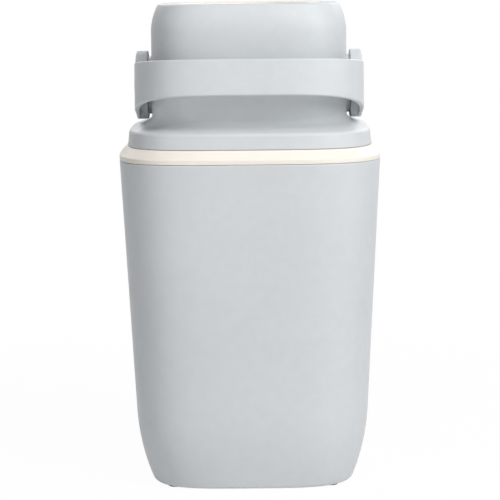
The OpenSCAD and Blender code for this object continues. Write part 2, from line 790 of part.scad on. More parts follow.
// The lid of the piston. Its pegs go into the cup's wall and its hub holds the weight down.
module piston_cover() {
    color([0.84, 0.86, 0.87]) at_piston() {
        translate([0, 0, piston_h - piston_wall]) difference() {
            cylinder(r = piston_r, h = piston_wall);
            translate([0, 0, piston_wall - 0.8]) cylinder(r = weight_r - 2, h = 2);
        }
        difference() {
            translate([0, 0, piston_wall + weight_t]) cylinder(r = 12, h = piston_h - 2 * piston_wall - weight_t + 0.5);
            translate([0, 0, piston_wall + weight_t - 1]) cylinder(r = 9.5, h = piston_h - 2 * piston_wall - weight_t + 1);
        }
        for (a = [0 : 30 : 330]) rotate([0, 0, a]) translate([(weight_r + piston_r) / 2, 0, piston_h - piston_wall - 2.5])
            cylinder(r = 1.4, h = 3);
    }
}

module piston_wiper() {
    color([0.35, 0.36, 0.38]) at_piston() translate([0, 0, (piston_h - wiper_h) / 2]) difference() {
        cylinder(r = well_r - fit, h = wiper_h);
        translate([0, 0, -1]) cylinder(r = piston_r - 2.4, h = wiper_h + 2);
    }
}

bucket();
foot_pads();
bag_ring();
hinge_pin();
head_shell();
throat_collar();
lip_seal(1);  // upper_seal
head_base();
lip_seal(-1);  // lower_seal
head_gasket();
base_screws();
pivot_bush(-1);  // pivot_bush_left
pivot_bush(1);  // pivot_bush_right
drum_half(1);  // drum_upper_shell
drum_half(-1);  // drum_lower_shell
well_sleeve();
pivot_hub(-1);  // pivot_hub_left
pivot_hub(1);  // pivot_hub_right
hub_screws();
handle();
handle_screws();
handle_cap(-1);  // handle_cap_left
handle_cap(1);  // handle_cap_right
piston_cup();
piston_weight();
piston_cover();
piston_wiper();
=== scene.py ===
"""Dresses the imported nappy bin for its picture.

The bin is a tapered bucket with a cream bag ring on its rim and a hinged head. The head
holds a ball-shaped drum, which the handle turns over. The outlines are rounded squares,
and each side profile below follows the CAD's, with finer curves and softer edges.

Sizes are in millimetres until a mesh is finished. Then it is scaled to metres, at the
place the CAD gives it, so every finished object stands at the origin, unturned. The
sub-assemblies' angles are in degrees.
"""
import logging
import math
from collections.abc import Iterable, Sequence
from dataclasses import dataclass, field
from enum import Enum
from functools import cache, cached_property
from itertools import accumulate
from typing import NamedTuple

import bmesh
import bpy
from mathutils import Matrix, Vector


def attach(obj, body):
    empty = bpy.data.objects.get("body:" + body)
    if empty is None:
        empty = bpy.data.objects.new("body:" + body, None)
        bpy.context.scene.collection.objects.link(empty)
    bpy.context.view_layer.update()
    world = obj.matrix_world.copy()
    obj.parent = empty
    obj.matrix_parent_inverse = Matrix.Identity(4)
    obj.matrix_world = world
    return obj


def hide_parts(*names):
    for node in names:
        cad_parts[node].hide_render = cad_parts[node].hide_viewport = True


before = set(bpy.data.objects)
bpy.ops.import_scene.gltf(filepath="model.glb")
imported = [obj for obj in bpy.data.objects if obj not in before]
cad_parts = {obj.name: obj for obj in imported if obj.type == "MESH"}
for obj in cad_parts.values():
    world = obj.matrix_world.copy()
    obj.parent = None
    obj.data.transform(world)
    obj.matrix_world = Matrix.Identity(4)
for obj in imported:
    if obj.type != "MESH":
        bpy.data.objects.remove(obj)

log = logging.getLogger("nappy_bin")

MM = 0.001
SQUARENESS = 3.8
"""Exponent of the rounded-square outlines: 2 is a circle, and more is squarer."""


class Side(Enum):
    """The two ends of the handle's axis."""

    LEFT = -1
    RIGHT = 1


class Cut(Enum):
    """What a tool does to a piece."""

    AWAY = "DIFFERENCE"
    TO = "INTERSECT"
    ON = "UNION"


# ---- Node trees --------------------------------------------------------------------


class Wire:
    """An output socket that can stand in arithmetic. Each operator adds a Math node."""

    def __init__(self, graph: "Graph", socket: bpy.types.NodeSocket) -> None:
        """Wraps a socket of a graph."""
        self.graph = graph
        self.socket = socket

    def out(self, name: str | int) -> "Wire":
        """Another output of the same node."""
        return Wire(self.graph, self.socket.node.outputs[name])

    def maths(self, operation: str, *others: "Wire | float", reflected: bool = False) -> "Wire":
        """A Math node that starts from this value.

        Args:
            operation: The Math node's operation.
            *others: The node's further values, in order.
            reflected: True if this value comes last instead.

        Returns:
            The node's result.
        """
        values = (*others, self) if reflected else (self, *others)
        return self.graph.add("ShaderNodeMath", {"operation": operation}, dict(enumerate(values)))

    def __add__(self, other: "Wire | float") -> "Wire":
        """Self plus other."""
        return self.maths("ADD", other)

    def __radd__(self, other: float) -> "Wire":
        """Other plus self."""
        return self.maths("ADD", other, reflected=True)

    def __sub__(self, other: "Wire | float") -> "Wire":
        """Self less other."""
        return self.maths("SUBTRACT", other)

    def __rsub__(self, other: float) -> "Wire":
        """Other less self."""
        return self.maths("SUBTRACT", other, reflected=True)

    def __mul__(self, other: "Wire | float") -> "Wire":
        """Self times other."""
        return self.maths("MULTIPLY", other)

    def __rmul__(self, other: float) -> "Wire":
        """Other times self."""
        return self.maths("MULTIPLY", other, reflected=True)

    def __truediv__(self, other: "Wire | float") -> "Wire":
        """Self over other."""
        return self.maths("DIVIDE", other)

    def __rtruediv__(self, other: float) -> "Wire":
        """Other over self."""
        return self.maths("DIVIDE", other, reflected=True)

    def __pow__(self, other: "Wire | float") -> "Wire":
        """Self to the power of other."""
        return self.maths("POWER", other)

    def __abs__(self) -> "Wire":
        """Self without its sign."""
        return self.maths("ABSOLUTE")

    def step(self, low: float, high: float) -> "Wire":
        """A smooth rise from 0 at low to 1 at high."""
        return self.graph.add("ShaderNodeMapRange", {"interpolation_type": "SMOOTHSTEP"},
                              {"Value": self, "From Min": low, "From Max": high})


class Graph:
    """A node tree that is written down as Python expressions."""

    def __init__(self, tree: bpy.types.NodeTree) -> None:
        """Empties the tree and takes it over."""
        self.tree = tree
        tree.nodes.clear()

    def add(self, kind: str, settings: dict | None = None, values: dict | None = None,
            output: str | int = 0) -> Wire:
        """Adds a node.

        Args:
            kind: The node's type.
            settings: Its settings, set first. "stops" holds a colour ramp's stops.
            values: What its input sockets get, by name or number: a value or a Wire.
            output: The output to return.

        Returns:
            That output.
        """
        node = self.tree.nodes.new(kind)
        for name, setting in (settings or {}).items():
            if name == "stops":
                self._set_stops(node.color_ramp, setting)
            else:
                setattr(node, name, setting)
        for name, value in (values or {}).items():
            if isinstance(value, Wire):
                self.tree.links.new(value.socket, node.inputs[name])
            else:
                node.inputs[name].default_value = value
        return Wire(self, node.outputs[output]) if node.outputs else Wire(self, node.inputs[0])

    def mix(self, factor: Wire | float, low: Wire | Sequence[float],
            high: Wire | Sequence[float]) -> Wire:
        """A colour between two others.

        Args:
            factor: 0 for the low colour and 1 for the high one.
            low: A colour.
            high: A colour.

        Returns:
            The mixed colour.
        """
        return self.add("ShaderNodeMix", {"data_type": "RGBA"}, {0: factor, 6: low, 7: high}, 2)

    @staticmethod
    def _set_stops(ramp: bpy.types.ColorRamp, stops: Sequence[tuple[float, float]]) -> None:
        """Gives a colour ramp grey stops of (place, brightness)."""
        while len(ramp.elements) < len(stops):
            ramp.elements.new(0.5)
        for element, (place, grey) in zip(ramp.elements, stops):
            element.position = place
            element.color = (grey, grey, grey, 1)


# ---- Finishes ----------------------------------------------------------------------


def linear(code: str) -> tuple[float, float, float, float]:
    """The scene-linear colour of a six-digit screen colour code."""
    parts = [int(code[i:i + 2], 16) / 255 for i in (0, 2, 4)]
    return tuple([p / 12.92 if p <= 0.04045 else ((p + 0.055) / 1.055) ** 2.4 for p in parts] + [1])


@dataclass(frozen=True)
class Finish:
    """What every surface has in common: a tone that drifts, a fine texture and worn edges.

    Attributes:
        name: The material's name.
        colour: Its six-digit screen colour code.
        roughness: Its roughness on average.
        tone_drift: How far its tone strays to each side, as a share.
        grain_size: Size of the texture's features, in millimetres.
        grain_depth: Depth of the texture, in millimetres.
        edge_wear: How strong the polish of the outer edges is.
        edge_width: Width of a polished edge, in millimetres.
        metallic: 1 for a metal.
    """

    name: str
    colour: str
    roughness: float = 0.5
    tone_drift: float = 0.03
    grain_size: float = 0.55
    grain_depth: float = 0.012
    edge_wear: float = 0.25
    edge_width: float = 0.7
    metallic: float = 0.0

    def noise(self, graph: Graph, size: float, detail: float = 2.0, stretch: Sequence[float] = (1, 1, 1),
              roughness: float = 0.5) -> Wire:
        """Noise whose features are about a given size.

        Args:
            graph: The material's graph.
            size: Size of the features, in millimetres.
            detail: Octaves of finer noise.
            stretch: How much closer the features lie along X, Y and Z.
            roughness: Strength of the finer octaves.

        Returns:
            The noise, about 0.5 on average.
        """
        place = graph.add("ShaderNodeTexCoord", output="Object")
        turned = graph.add("ShaderNodeMapping", None, {"Vector": place, "Scale": stretch})
        return graph.add("ShaderNodeTexNoise", None, {
            "Vector": turned, "Scale": 1 / (size * MM), "Detail": detail, "Roughness": roughness})

    def edges(self, graph: Graph) -> Wire:
        """A mask of the outer edges, where hands polish the surface, broken up by noise."""
        soft = graph.add("ShaderNodeBevel", {"samples": 6}, {"Radius": self.edge_width * MM})
        hard = graph.add("ShaderNodeNewGeometry", output="Normal")
        alike = graph.add("ShaderNodeVectorMath", {"operation": "DOT_PRODUCT"}, {0: soft, 1: hard}, 1)
        patchy = self.noise(graph, 9, 3).step(0.35, 0.65)
        return (1 - alike).step(0.01, 0.14) * (0.35 + 0.65 * patchy)

    def texture(self, graph: Graph) -> Wire:
        """The height of the fine surface texture, from 0 to 1."""
        return self.noise(graph, self.grain_size, 3, roughness=0.6)

    def tint(self, graph: Graph, colour: Wire) -> Wire:
        """The finish's own marks on its colour. A plain finish has none."""
        return colour

    def gloss(self, graph: Graph, edges: Wire) -> Wire:
        """The roughness over the surface."""
        smears = self.noise(graph, 24, 4, (1, 1, 0.45)).step(0.42, 0.75)
        fine = self.noise(graph, self.grain_size * 3, 2)
        return self.roughness + 0.07 * (fine - 0.5) - 0.09 * smears - 0.14 * edges

    def material(self) -> bpy.types.Material:
        """Makes the material, or finds it if an earlier piece has it.

        Returns:
            The material.
        """
        made = bpy.data.materials.get(self.name)
        if made:
            return made
        made = bpy.data.materials.new(self.name)
        made.use_nodes = True
        graph = Graph(made.node_tree)
        edges = self.edges(graph)
        base = linear(self.colour)
        dark = tuple([c * (1 - self.tone_drift) for c in base[:3]] + [1])
        light = tuple([min(1, c * (1 + self.tone_drift)) for c in base[:3]] + [1])
        drift = self.noise(graph, 140, 2) * 0.6 + self.noise(graph, 11, 3) * 0.4
        colour = graph.mix(drift.step(0.3, 0.7), dark, light)
        polished = tuple([c + (1 - c) * 0.18 for c in base[:3]] + [1])
        colour = graph.mix(edges * self.edge_wear, colour, polished)
        bump = graph.add("ShaderNodeBump", None, {
            "Strength": 1.0, "Distance": self.grain_depth * MM, "Height": self.texture(graph)})
        shader = graph.add("ShaderNodeBsdfPrincipled", None, {
            "Base Color": self.tint(graph, colour), "Roughness": self.gloss(graph, edges),
            "Metallic": self.metallic, "Normal": bump, **self.shader_values()})
        graph.add("ShaderNodeOutputMaterial", None, {"Surface": shader})
        return made

    def shader_values(self) -> dict[str, float]:
        """The shader's own values that are the same all over."""
        return {"IOR": 1.5, "Specular IOR Level": 0.4}


@dataclass(frozen=True)
class MouldedPlastic(Finish):
    """Polypropylene from a spark-eroded mould: satin, with faint flow marks and scuffs.

    Attributes:
        scuffs: How strong the scuffs are.
    """

    scuffs: float = 0.05

    def tint(self, graph: Graph, colour: Wire) -> Wire:
        """Adds pale, hair-thin scuffs."""
        lines = self.noise(graph, 1.6, 2, (0.05, 0.05, 1)).step(0.68, 0.74)
        where = self.noise(graph, 60, 2).step(0.55, 0.72)
        return graph.mix(lines * where * self.scuffs, colour, (0.9, 0.91, 0.92, 1))

    def texture(self, graph: Graph) -> Wire:
        """Fine erosion pits over long, shallow flow waves."""
        pits = self.noise(graph, self.grain_size, 3, roughness=0.65)
        flow = self.noise(graph, 38, 1, (1, 1, 0.35))
        return pits * 0.8 + flow * 3.5


@dataclass(frozen=True)
class SoftRubber(Finish):
    """Matt rubber with a talc bloom."""

    def tint(self, graph: Graph, colour: Wire) -> Wire:
        """Adds a bloom that is greyer in patches."""
        bloom = self.noise(graph, 7, 4).step(0.45, 0.75)
        return graph.mix(bloom * 0.16, colour, (0.6, 0.6, 0.6, 1))

    def shader_values(self) -> dict[str, float]:
        """Rubber reflects less than plastic."""
        return {"IOR": 1.47, "Specular IOR Level": 0.3}


@dataclass(frozen=True)
class PlatedSteel(Finish):
    """Zinc-plated steel with drawing marks and a cloudy plating."""

    def tint(self, graph: Graph, colour: Wire) -> Wire:
        """Adds the plating's clouds."""
        clouds = self.noise(graph, 3.5, 3).step(0.35, 0.7)
        return graph.mix(clouds * 0.35, colour, (0.42, 0.43, 0.46, 1))

    def texture(self, graph: Graph) -> Wire:
        """Fine drawing marks."""
        return self.noise(graph, 0.3, 2, (0.15, 1, 1))

    def shader_values(self) -> dict[str, float]:
        """Steel keeps the shader's own values."""
        return {}


BODY = MouldedPlastic("pale_grey_plastic", "CED2D5", roughness=0.52)
CREAM = MouldedPlastic("cream_plastic", "F0E9DF", roughness=0.48, tone_drift=0.012)
CAP = MouldedPlastic("cap_grey_plastic", "C9CDD1", roughness=0.46)
DRUM = MouldedPlastic("drum_grey_plastic", "D6DADD", roughness=0.4)
BEARING = MouldedPlastic("bearing_white_plastic", "E9E9E6", roughness=0.36, grain_depth=0.006)
SEAL = SoftRubber("seal_rubber", "D3D6D8", roughness=0.62, grain_size=0.3)
RUBBER = SoftRubber("foot_rubber", "4A4C50", roughness=0.7, grain_size=0.4, grain_depth=0.02)
STEEL = PlatedSteel("plated_steel", "B9BCC2", roughness=0.3, metallic=1.0, tone_drift=0.05,
                    grain_depth=0.004, edge_width=0.3)


# ---- Meshes ------------------------------------------------------------------------


class Corner(NamedTuple):
    """A corner of a side profile: half width, height, rounding and the outline's squareness."""

    half: float
    height: float
    round: float = 0.0
    squareness: float | None = None


def arc(centre: Sequence[float], r: float, start: float, end: float, steps: int = 10,
        squareness: float | None = None) -> list[Corner]:
    """Points of an arc in a side profile.

    Args:
        centre: The arc's centre, as half width and height.
        r: Its radius.
        start: Its first angle, in degrees above the outward direction.
        end: Its last angle.
        steps: How many steps it has.
        squareness: The squareness of the outline there.

    Returns:
        The points.
    """
    turns = [math.radians(start + (end - start) * i / steps) for i in range(steps + 1)]
    return [Corner(centre[0] + r * math.cos(a), centre[1] + r * math.sin(a), 0, squareness)
            for a in turns]


def rounded(corners: Sequence[Corner | tuple], closed: bool = True, steps: int = 5,
            guard: float = 0.3) -> list[Corner]:
    """Rounds a profile's corners, with a guard point on each side that keeps the flats flat.

    Args:
        corners: The corners, in order.
        closed: True if the last corner runs on to the first.
        steps: Steps of each rounding.
        guard: How far from the rounding the guard points stand.

    Returns:
        The profile with its corners rounded.
    """
    listed = [Corner(*c) for c in corners]
    count, out = len(listed), []
    for i, corner in enumerate(listed):
        if corner.round <= 0 or (not closed and i in (0, count - 1)):
            out.append(corner)
            continue
        here = Vector(corner[:2])
        to_last, to_next = (Vector(listed[(i + k) % count][:2]) - here for k in (-1, 1))
        room = 0.48 * min(to_last.length, to_next.length)
        half = to_last.angle(to_next) / 2
        reach = min(corner.round / math.tan(half), room)
        r = reach * math.tan(half)
        last, following = to_last.normalized(), to_next.normalized()
        centre = here + (last + following).normalized() * (r / math.sin(half))
        spokes = [here + last * reach - centre, here + following * reach - centre]
        turn = spokes[0].angle_signed(spokes[1])
        points = [centre + Matrix.Rotation(-turn * k / steps, 2) @ spokes[0] for k in range(steps + 1)]
        if reach + guard < room:
            points = [here + last * (reach + guard), *points, here + following * (reach + guard)]
        out += [Corner(p.x, p.y, 0, corner.squareness) for p in points]
    return out


def modified(objects: Sequence[bpy.types.Object]) -> bpy.types.Mesh:
    """Turns the first object, with its modifiers, into a plain mesh, and removes them all."""
    bpy.context.view_layer.update()
    shaped = objects[0].evaluated_get(bpy.context.evaluated_depsgraph_get())
    mesh = bpy.data.meshes.new_from_object(shaped)
    objects[0].modifiers.clear()
    for spare in objects:
        bpy.data.objects.remove(spare)
    return mesh


def scratch(mesh: bpy.types.Mesh) -> bpy.types.Object:
    """A linked object that holds a mesh while it is worked on."""
    made = bpy.data.objects.new("scratch", mesh)
    bpy.context.scene.collection.objects.link(made)
    return made


def cleaned(mesh: bpy.types.Mesh) -> bpy.types.Mesh:
    """Merges a closed mesh's doubles and points its faces outwards."""
    work = bmesh.new()
    work.from_mesh(mesh)
    bmesh.ops.remove_doubles(work, verts=work.verts, dist=0.002)
    bmesh.ops.dissolve_degenerate(work, edges=work.edges, dist=0.0005)
    bmesh.ops.recalc_face_normals(work, faces=work.faces)
    work.to_mesh(mesh)
    work.free()
    return mesh


def worked(mesh: bpy.types.Mesh, how: Cut, *tools: bpy.types.Mesh) -> bpy.types.Mesh:
    """Cuts a closed mesh with others, or joins them to it.

    Args:
        mesh: The mesh.
        how: What the tools do.
        *tools: Closed meshes, used in order.

    Returns:
        The worked mesh.
    """
    piece, helpers = scratch(mesh), [scratch(t) for t in tools]
    for helper in helpers:
        cut = piece.modifiers.new("cut", "BOOLEAN")
        cut.operation, cut.solver, cut.object = how.value, "EXACT", helper
    return modified([piece, *helpers])


def joined(*meshes: bpy.types.Mesh) -> bpy.types.Mesh:
    """Puts several closed meshes in one."""
    work = bmesh.new()
    for mesh in meshes:
        work.from_mesh(mesh)
    together = bpy.data.meshes.new("joined")
    work.to_mesh(together)
    work.free()
    return together


def ringed(rings: Sequence[Sequence[Sequence[float]]], capped: bool = True) -> bpy.types.Mesh:
    """Joins rings of points with quads.

    Args:
        rings: Rings with the same number of points.
        capped: True if the first and last ring are closed by a face, and False if the last
            ring runs on to the first.

    Returns:
        The closed mesh, cleaned.
    """
    size = len(rings[0])
    points = [tuple(p) for ring in rings for p in ring]
    faces = []
    for low in range(len(rings) if not capped else len(rings) - 1):
        high = (low + 1) % len(rings)
        faces += [(low * size + i, low * size + (i + 1) % size,
                   high * size + (i + 1) % size, high * size + i) for i in range(size)]
    if capped:
        faces += [tuple(range(size))[::-1], tuple(range(len(points) - size, len(points)))]
    mesh = bpy.data.meshes.new("rings")
    mesh.from_pydata(points, [], faces)
    return cleaned(mesh)


def prism(outline: Sequence[Sequence[float]], start: float, end: float, edge: float = 0.5) -> bpy.types.Mesh:
    """A bar along X with soft ends.

    Args:
        outline: Its convex outline, as Y and Z.
        start: Its first X.
        end: Its last X.
        edge: Rounding of its ends.

    Returns:
        The mesh.
    """
    middle = sum((Vector(p) for p in outline), Vector((0, 0))) / len(outline)
    rings = []
    for x0, sign in ((start, 1), (end, -1)):
        ends = []
        for k in range(5):
            a = math.radians(90 * k / 4)
            inset, depth = edge * (1 - math.sin(a)), edge * (1 - math.cos(a))
            ring = []
            for p in outline:
                spoke = Vector(p) - middle
                q = middle + spoke * (1 - inset / spoke.length)
                ring.append((x0 + sign * depth, q.x, q.y))
            ends.append(ring)
        rings += ends if sign > 0 else ends[::-1]
    return ringed(rings)


def hexagon(r: float, z: float) -> list[tuple[float, float, float]]:
    """A hexagon about Z, by the radius of its corners, at a height."""
    return [(r * math.cos(math.tau * k / 6), r * math.sin(math.tau * k / 6), z) for k in range(6)]


def swept(section: Sequence[tuple[float, float]], start: float, sweep: float,
          steps: int) -> bpy.types.Mesh:
    """Sweeps a section part of the way round Z.

    Args:
        section: Its corners, as radius and height.
        start: The first angle, in radians.
        sweep: How far it runs on from there, in radians.
        steps: How many steps it has.

    Returns:
        The closed mesh, cleaned.
    """
    turns = [start + sweep * k / steps for k in range(steps + 1)]
    return ringed([[(r * math.cos(a), r * math.sin(a), z) for r, z in section] for a in turns])


def distances(line: Sequence[Vector]) -> list[float]:
    """How far along a line of points each of them is."""
    return [0.0, *accumulate((q - p).length for p, q in zip(line, line[1:]))]


class Trees:
    """The geometry trees that make turned pieces, copies and ribs. Each is made once."""

    @staticmethod
    def start(name: str, inputs: dict[str, tuple[str, object]]) -> tuple[Graph, Wire]:
        """Starts a geometry tree.

        Args:
            name: The tree's name.
            inputs: Each named input's socket type and value.

        Returns:
            The graph, and its input node's first output.
        """
        tree = bpy.data.node_groups.new(name, "GeometryNodeTree")
        tree.interface.new_socket("Geometry", in_out="INPUT", socket_type="NodeSocketGeometry")
        for label, (kind, value) in inputs.items():
            socket = tree.interface.new_socket(label, in_out="INPUT", socket_type=kind)
            if value is not None:
                socket.default_value = value
        tree.interface.new_socket("Geometry", in_out="OUTPUT", socket_type="NodeSocketGeometry")
        graph = Graph(tree)
        return graph, graph.add("NodeGroupInput")

    @staticmethod
    def end(graph: Graph, shape: Wire, given: Wire) -> bpy.types.NodeTree:
        """Ends a tree with real geometry that wears the finish.

        Args:
            graph: The tree's graph.
            shape: The geometry, which may hold instances.
            given: The tree's input node.

        Returns:
            The tree.
        """
        real = graph.add("GeometryNodeRealizeInstances", None, {"Geometry": shape})
        dressed = graph.add("GeometryNodeSetMaterial", None,
                            {"Geometry": real, "Material": given.out("Finish")})
        graph.add("NodeGroupOutput", None, {"Geometry": dressed})
        return graph.tree

    @classmethod
    @cache
    def turning(cls) -> bpy.types.NodeTree:
        """The tree that turns a side profile about Z, on an outline of any squareness.

        Returns:
            The tree. Its profile is a row of points, each with its own squareness.
        """
        graph, given = cls.start("turning", {
            "Steps": ("NodeSocketInt", 192), "Finish": ("NodeSocketMaterial", None)})
        profile, steps = given.out("Geometry"), given.out("Steps")
        levels = graph.add("GeometryNodeAttributeDomainSize", {"component": "MESH"},
                           {"Geometry": profile}, "Point Count")
        grid = graph.add("GeometryNodeMeshGrid", None, {
            "Size X": levels - 1, "Size Y": steps, "Vertices X": levels, "Vertices Y": steps + 1})
        at = graph.add("ShaderNodeSeparateXYZ", None, {0: graph.add("GeometryNodeInputPosition")})
        level = (at.out("X") + (levels - 1) / 2).maths("ROUND")
        corner = graph.add("ShaderNodeSeparateXYZ", None, {0: graph.add(
            "GeometryNodeSampleIndex", {"data_type": "FLOAT_VECTOR", "domain": "POINT"},
            {"Geometry": profile, "Value": graph.add("GeometryNodeInputPosition"), "Index": level})})
        power = graph.add("GeometryNodeSampleIndex", {"data_type": "FLOAT", "domain": "POINT"}, {
            "Geometry": profile, "Index": level, "Value": graph.add(
                "GeometryNodeInputNamedAttribute", {"data_type": "FLOAT"}, {"Name": "squareness"})})
        turn = (at.out("Y") / steps + 0.5) * math.tau
        cos, sin = turn.maths("COSINE"), turn.maths("SINE")
        reach = corner.out("X") / (abs(cos) ** power + abs(sin) ** power) ** (1 / power)
        place = graph.add("ShaderNodeCombineXYZ", None,
                          {"X": reach * cos, "Y": reach * sin, "Z": corner.out("Z")})
        moved = graph.add("GeometryNodeSetPosition", None, {"Geometry": grid, "Position": place})
        sewn = graph.add("GeometryNodeMergeByDistance", None, {"Geometry": moved, "Distance": 0.001})
        return cls.end(graph, sewn, given)

    @classmethod
    @cache
    def copies(cls) -> bpy.types.NodeTree:
        """The tree that sets a copy of a part on each point, aimed along the point's direction.

        Returns:
            The tree. Its seed turns each copy about its own axis, as a driver leaves screws.
        """
        graph, given = cls.start("copies", {
            "Part": ("NodeSocketObject", None), "Scale": ("NodeSocketFloat", 1.0),
            "Most turn": ("NodeSocketFloat", 0.0), "Seed": ("NodeSocketInt", 7),
            "Finish": ("NodeSocketMaterial", None)})
        aim = graph.add("GeometryNodeInputNamedAttribute", {"data_type": "FLOAT_VECTOR"}, {"Name": "aim"})
        facing = graph.add("FunctionNodeAlignRotationToVector", {"axis": "Z"}, {"Vector": aim})
        random = graph.add("FunctionNodeRandomValue", {"data_type": "FLOAT"},
                           {"Min": 0.0, "Max": 1.0, "Seed": given.out("Seed")}, "Value")
        random = Wire(graph, next(s for s in random.socket.node.outputs if s.enabled))
        own = graph.add("FunctionNodeAxisAngleToRotation", None,
                        {"Axis": (0, 0, 1), "Angle": random * given.out("Most turn")})
        rotation = graph.add("FunctionNodeRotateRotation", {"rotation_space": "LOCAL"},
                             {"Rotation": facing, "Rotate By": own})
        part = graph.add("GeometryNodeObjectInfo", None, {"Object": given.out("Part")}, "Geometry")
        placed = graph.add("GeometryNodeInstanceOnPoints", None, {
            "Points": given.out("Geometry"), "Instance": part, "Rotation": rotation,
            "Scale": given.out("Scale")})
        return cls.end(graph, placed, given)

    @classmethod
    @cache
    def ribs(cls) -> bpy.types.NodeTree:
        """The tree that makes a ring of straight ribs with soft edges.

        Returns:
            The tree. Its inputs are the ring's sizes.
        """
        graph, given = cls.start("ribs", {
            "Count": ("NodeSocketInt", 8), "Inner radius": ("NodeSocketFloat", 68.0),
            "Length": ("NodeSocketFloat", 40.0), "Width": ("NodeSocketFloat", 2.0),
            "Height": ("NodeSocketFloat", 5.0), "Base": ("NodeSocketFloat", 0.0),
            "Edge": ("NodeSocketFloat", 0.4), "Finish": ("NodeSocketMaterial", None)})
        middle = given.out("Base") + given.out("Height") / 2
        ends = [graph.add("ShaderNodeCombineXYZ", None, {"X": x, "Z": middle})
                for x in (given.out("Inner radius"), given.out("Inner radius") + given.out("Length"))]
        spine = graph.add("GeometryNodeCurvePrimitiveLine", None, {"Start": ends[0], "End": ends[1]})
        oblong = graph.add("GeometryNodeCurvePrimitiveQuadrilateral", None,
                           {"Width": given.out("Height"), "Height": given.out("Width")})
        soft = graph.add("GeometryNodeFilletCurve", {"mode": "POLY"},
                         {"Curve": oblong, "Radius": given.out("Edge"), "Count": 4})
        rib = graph.add("GeometryNodeCurveToMesh", None,
                        {"Curve": spine, "Profile Curve": soft, "Fill Caps": True})
        spots = graph.add("GeometryNodeMeshLine", None, {
            "Count": given.out("Count"), "Offset": (0, 0, 0)})
        number = graph.add("GeometryNodeInputIndex")
        turn = graph.add("ShaderNodeCombineXYZ", None, {"Z": (number + 0.5) * math.tau / given.out("Count")})
        placed = graph.add("GeometryNodeInstanceOnPoints", None,
                           {"Points": spots, "Instance": rib, "Rotation": turn})
        return cls.end(graph, placed, given)


def grown(mesh: bpy.types.Mesh, tree: bpy.types.NodeTree, spare: Sequence[bpy.types.Object] = (),
          **inputs: object) -> bpy.types.Mesh:
    """Runs a geometry tree on a mesh.

    Args:
        mesh: What the tree starts from.
        tree: The tree.
        spare: Objects that the tree copies, which are removed afterwards.
        **inputs: Values of the tree's named inputs, with underscores for spaces.

    Returns:
        The plain mesh that the tree makes.
    """
    holder = scratch(mesh)
    modifier = holder.modifiers.new(tree.name, "NODES")
    modifier.node_group = tree
    keys = {item.name: item.identifier for item in tree.interface.items_tree
            if item.item_type == "SOCKET" and item.in_out == "INPUT"}
    for label, value in inputs.items():
        modifier[keys[label.replace("_", " ")]] = value
    return modified([holder, *spare])


def turned(profile: Sequence[Corner | tuple], finish: Finish, squareness: float = 2.0, steps: int = 128,
           closed: bool = True, place: Matrix | None = None) -> bpy.types.Mesh:
    """Turns a side profile about Z.

    Args:
        profile: The profile, in order. It is closed, or starts and ends on the axis.
        finish: What the piece wears.
        squareness: The outline's squareness, where a corner doesn't give its own.
        steps: Steps round the outline.
        closed: True if the last corner runs on to the first.
        place: Where the piece's own frame stands.

    Returns:
        The closed mesh, cleaned.
    """
    listed = [Corner(*c) for c in profile]
    if closed:
        listed.append(listed[0])
    row = bpy.data.meshes.new("profile")
    row.from_pydata([(c.half, 0, c.height) for c in listed],
                    [(i, i + 1) for i in range(len(listed) - 1)], [])
    powers = row.attributes.new("squareness", "FLOAT", "POINT")
    powers.data.foreach_set("value", [c.squareness or squareness for c in listed])
    mesh = cleaned(grown(row, Trees.turning(), Steps=steps, Finish=finish.material()))
    if place is not None:
        mesh.transform(place)
    return mesh


def copied(part: bpy.types.Mesh, spots: Iterable[tuple[Sequence[float], Sequence[float]]],
           finish: Finish, most_turn: float = 0.0) -> bpy.types.Mesh:
    """Sets copies of a part on points.

    Args:
        part: The part, at the origin and pointing along Z.
        spots: Each copy's place and direction.
        finish: What the copies wear.
        most_turn: The most that a copy is turned about its own axis, in radians.

    Returns:
        The copies, in one mesh.
    """
    listed = list(spots)
    points = bpy.data.meshes.new("spots")
    points.from_pydata([tuple(place) for place, _ in listed], [], [])
    aims = points.attributes.new("aim", "FLOAT_VECTOR", "POINT")
    aims.data.foreach_set("vector", [v for _, aim in listed for v in aim])
    source = scratch(part)
    return grown(points, Trees.copies(), [source], Part=source, Most_turn=most_turn,
                 Seed=7, Finish=finish.material())


def piece(mesh: bpy.types.Mesh, name: str, body: str, slot: str, finish: Finish, *nodes: str,
          sharp: float = 33.0) -> bpy.types.Object:
    """Finishes a mesh as a piece of the bin.

    Args:
        mesh: The mesh, in millimetres.
        name: The piece's name.
        body: The body it rides on.
        slot: The record's material slot for the piece. It is not used.
        finish: What it wears.
        *nodes: The CAD nodes it stands for.
        sharp: The angle past which an edge stays sharp, in degrees.

    Returns:
        The finished object.
    """
    mesh.name = name
    mesh.transform(Matrix.Scale(MM, 4))
    mesh.shade_smooth()
    mesh.set_sharp_from_angle(angle=math.radians(sharp))
    mesh.materials.clear()
    mesh.materials.append(finish.material())
    mesh.polygons.foreach_set("material_index", [0] * len(mesh.polygons))
    made = bpy.data.objects.new(name, mesh)
    bpy.context.scene.collection.objects.link(made)
    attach(made, body)
    if nodes:
        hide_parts(*nodes)
    log.info("%s: %d faces, on %s, for %s", name, len(mesh.polygons), body, ", ".join(nodes))
    return made


def dress(node: str, finish: Finish) -> None:
    """Gives a carried-over CAD node its finish, and leaves its mesh alone."""
    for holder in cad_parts[node].material_slots:
        holder.material = finish.material()
    log.info("%s: kept from the CAD, in %s", node, finish.name)


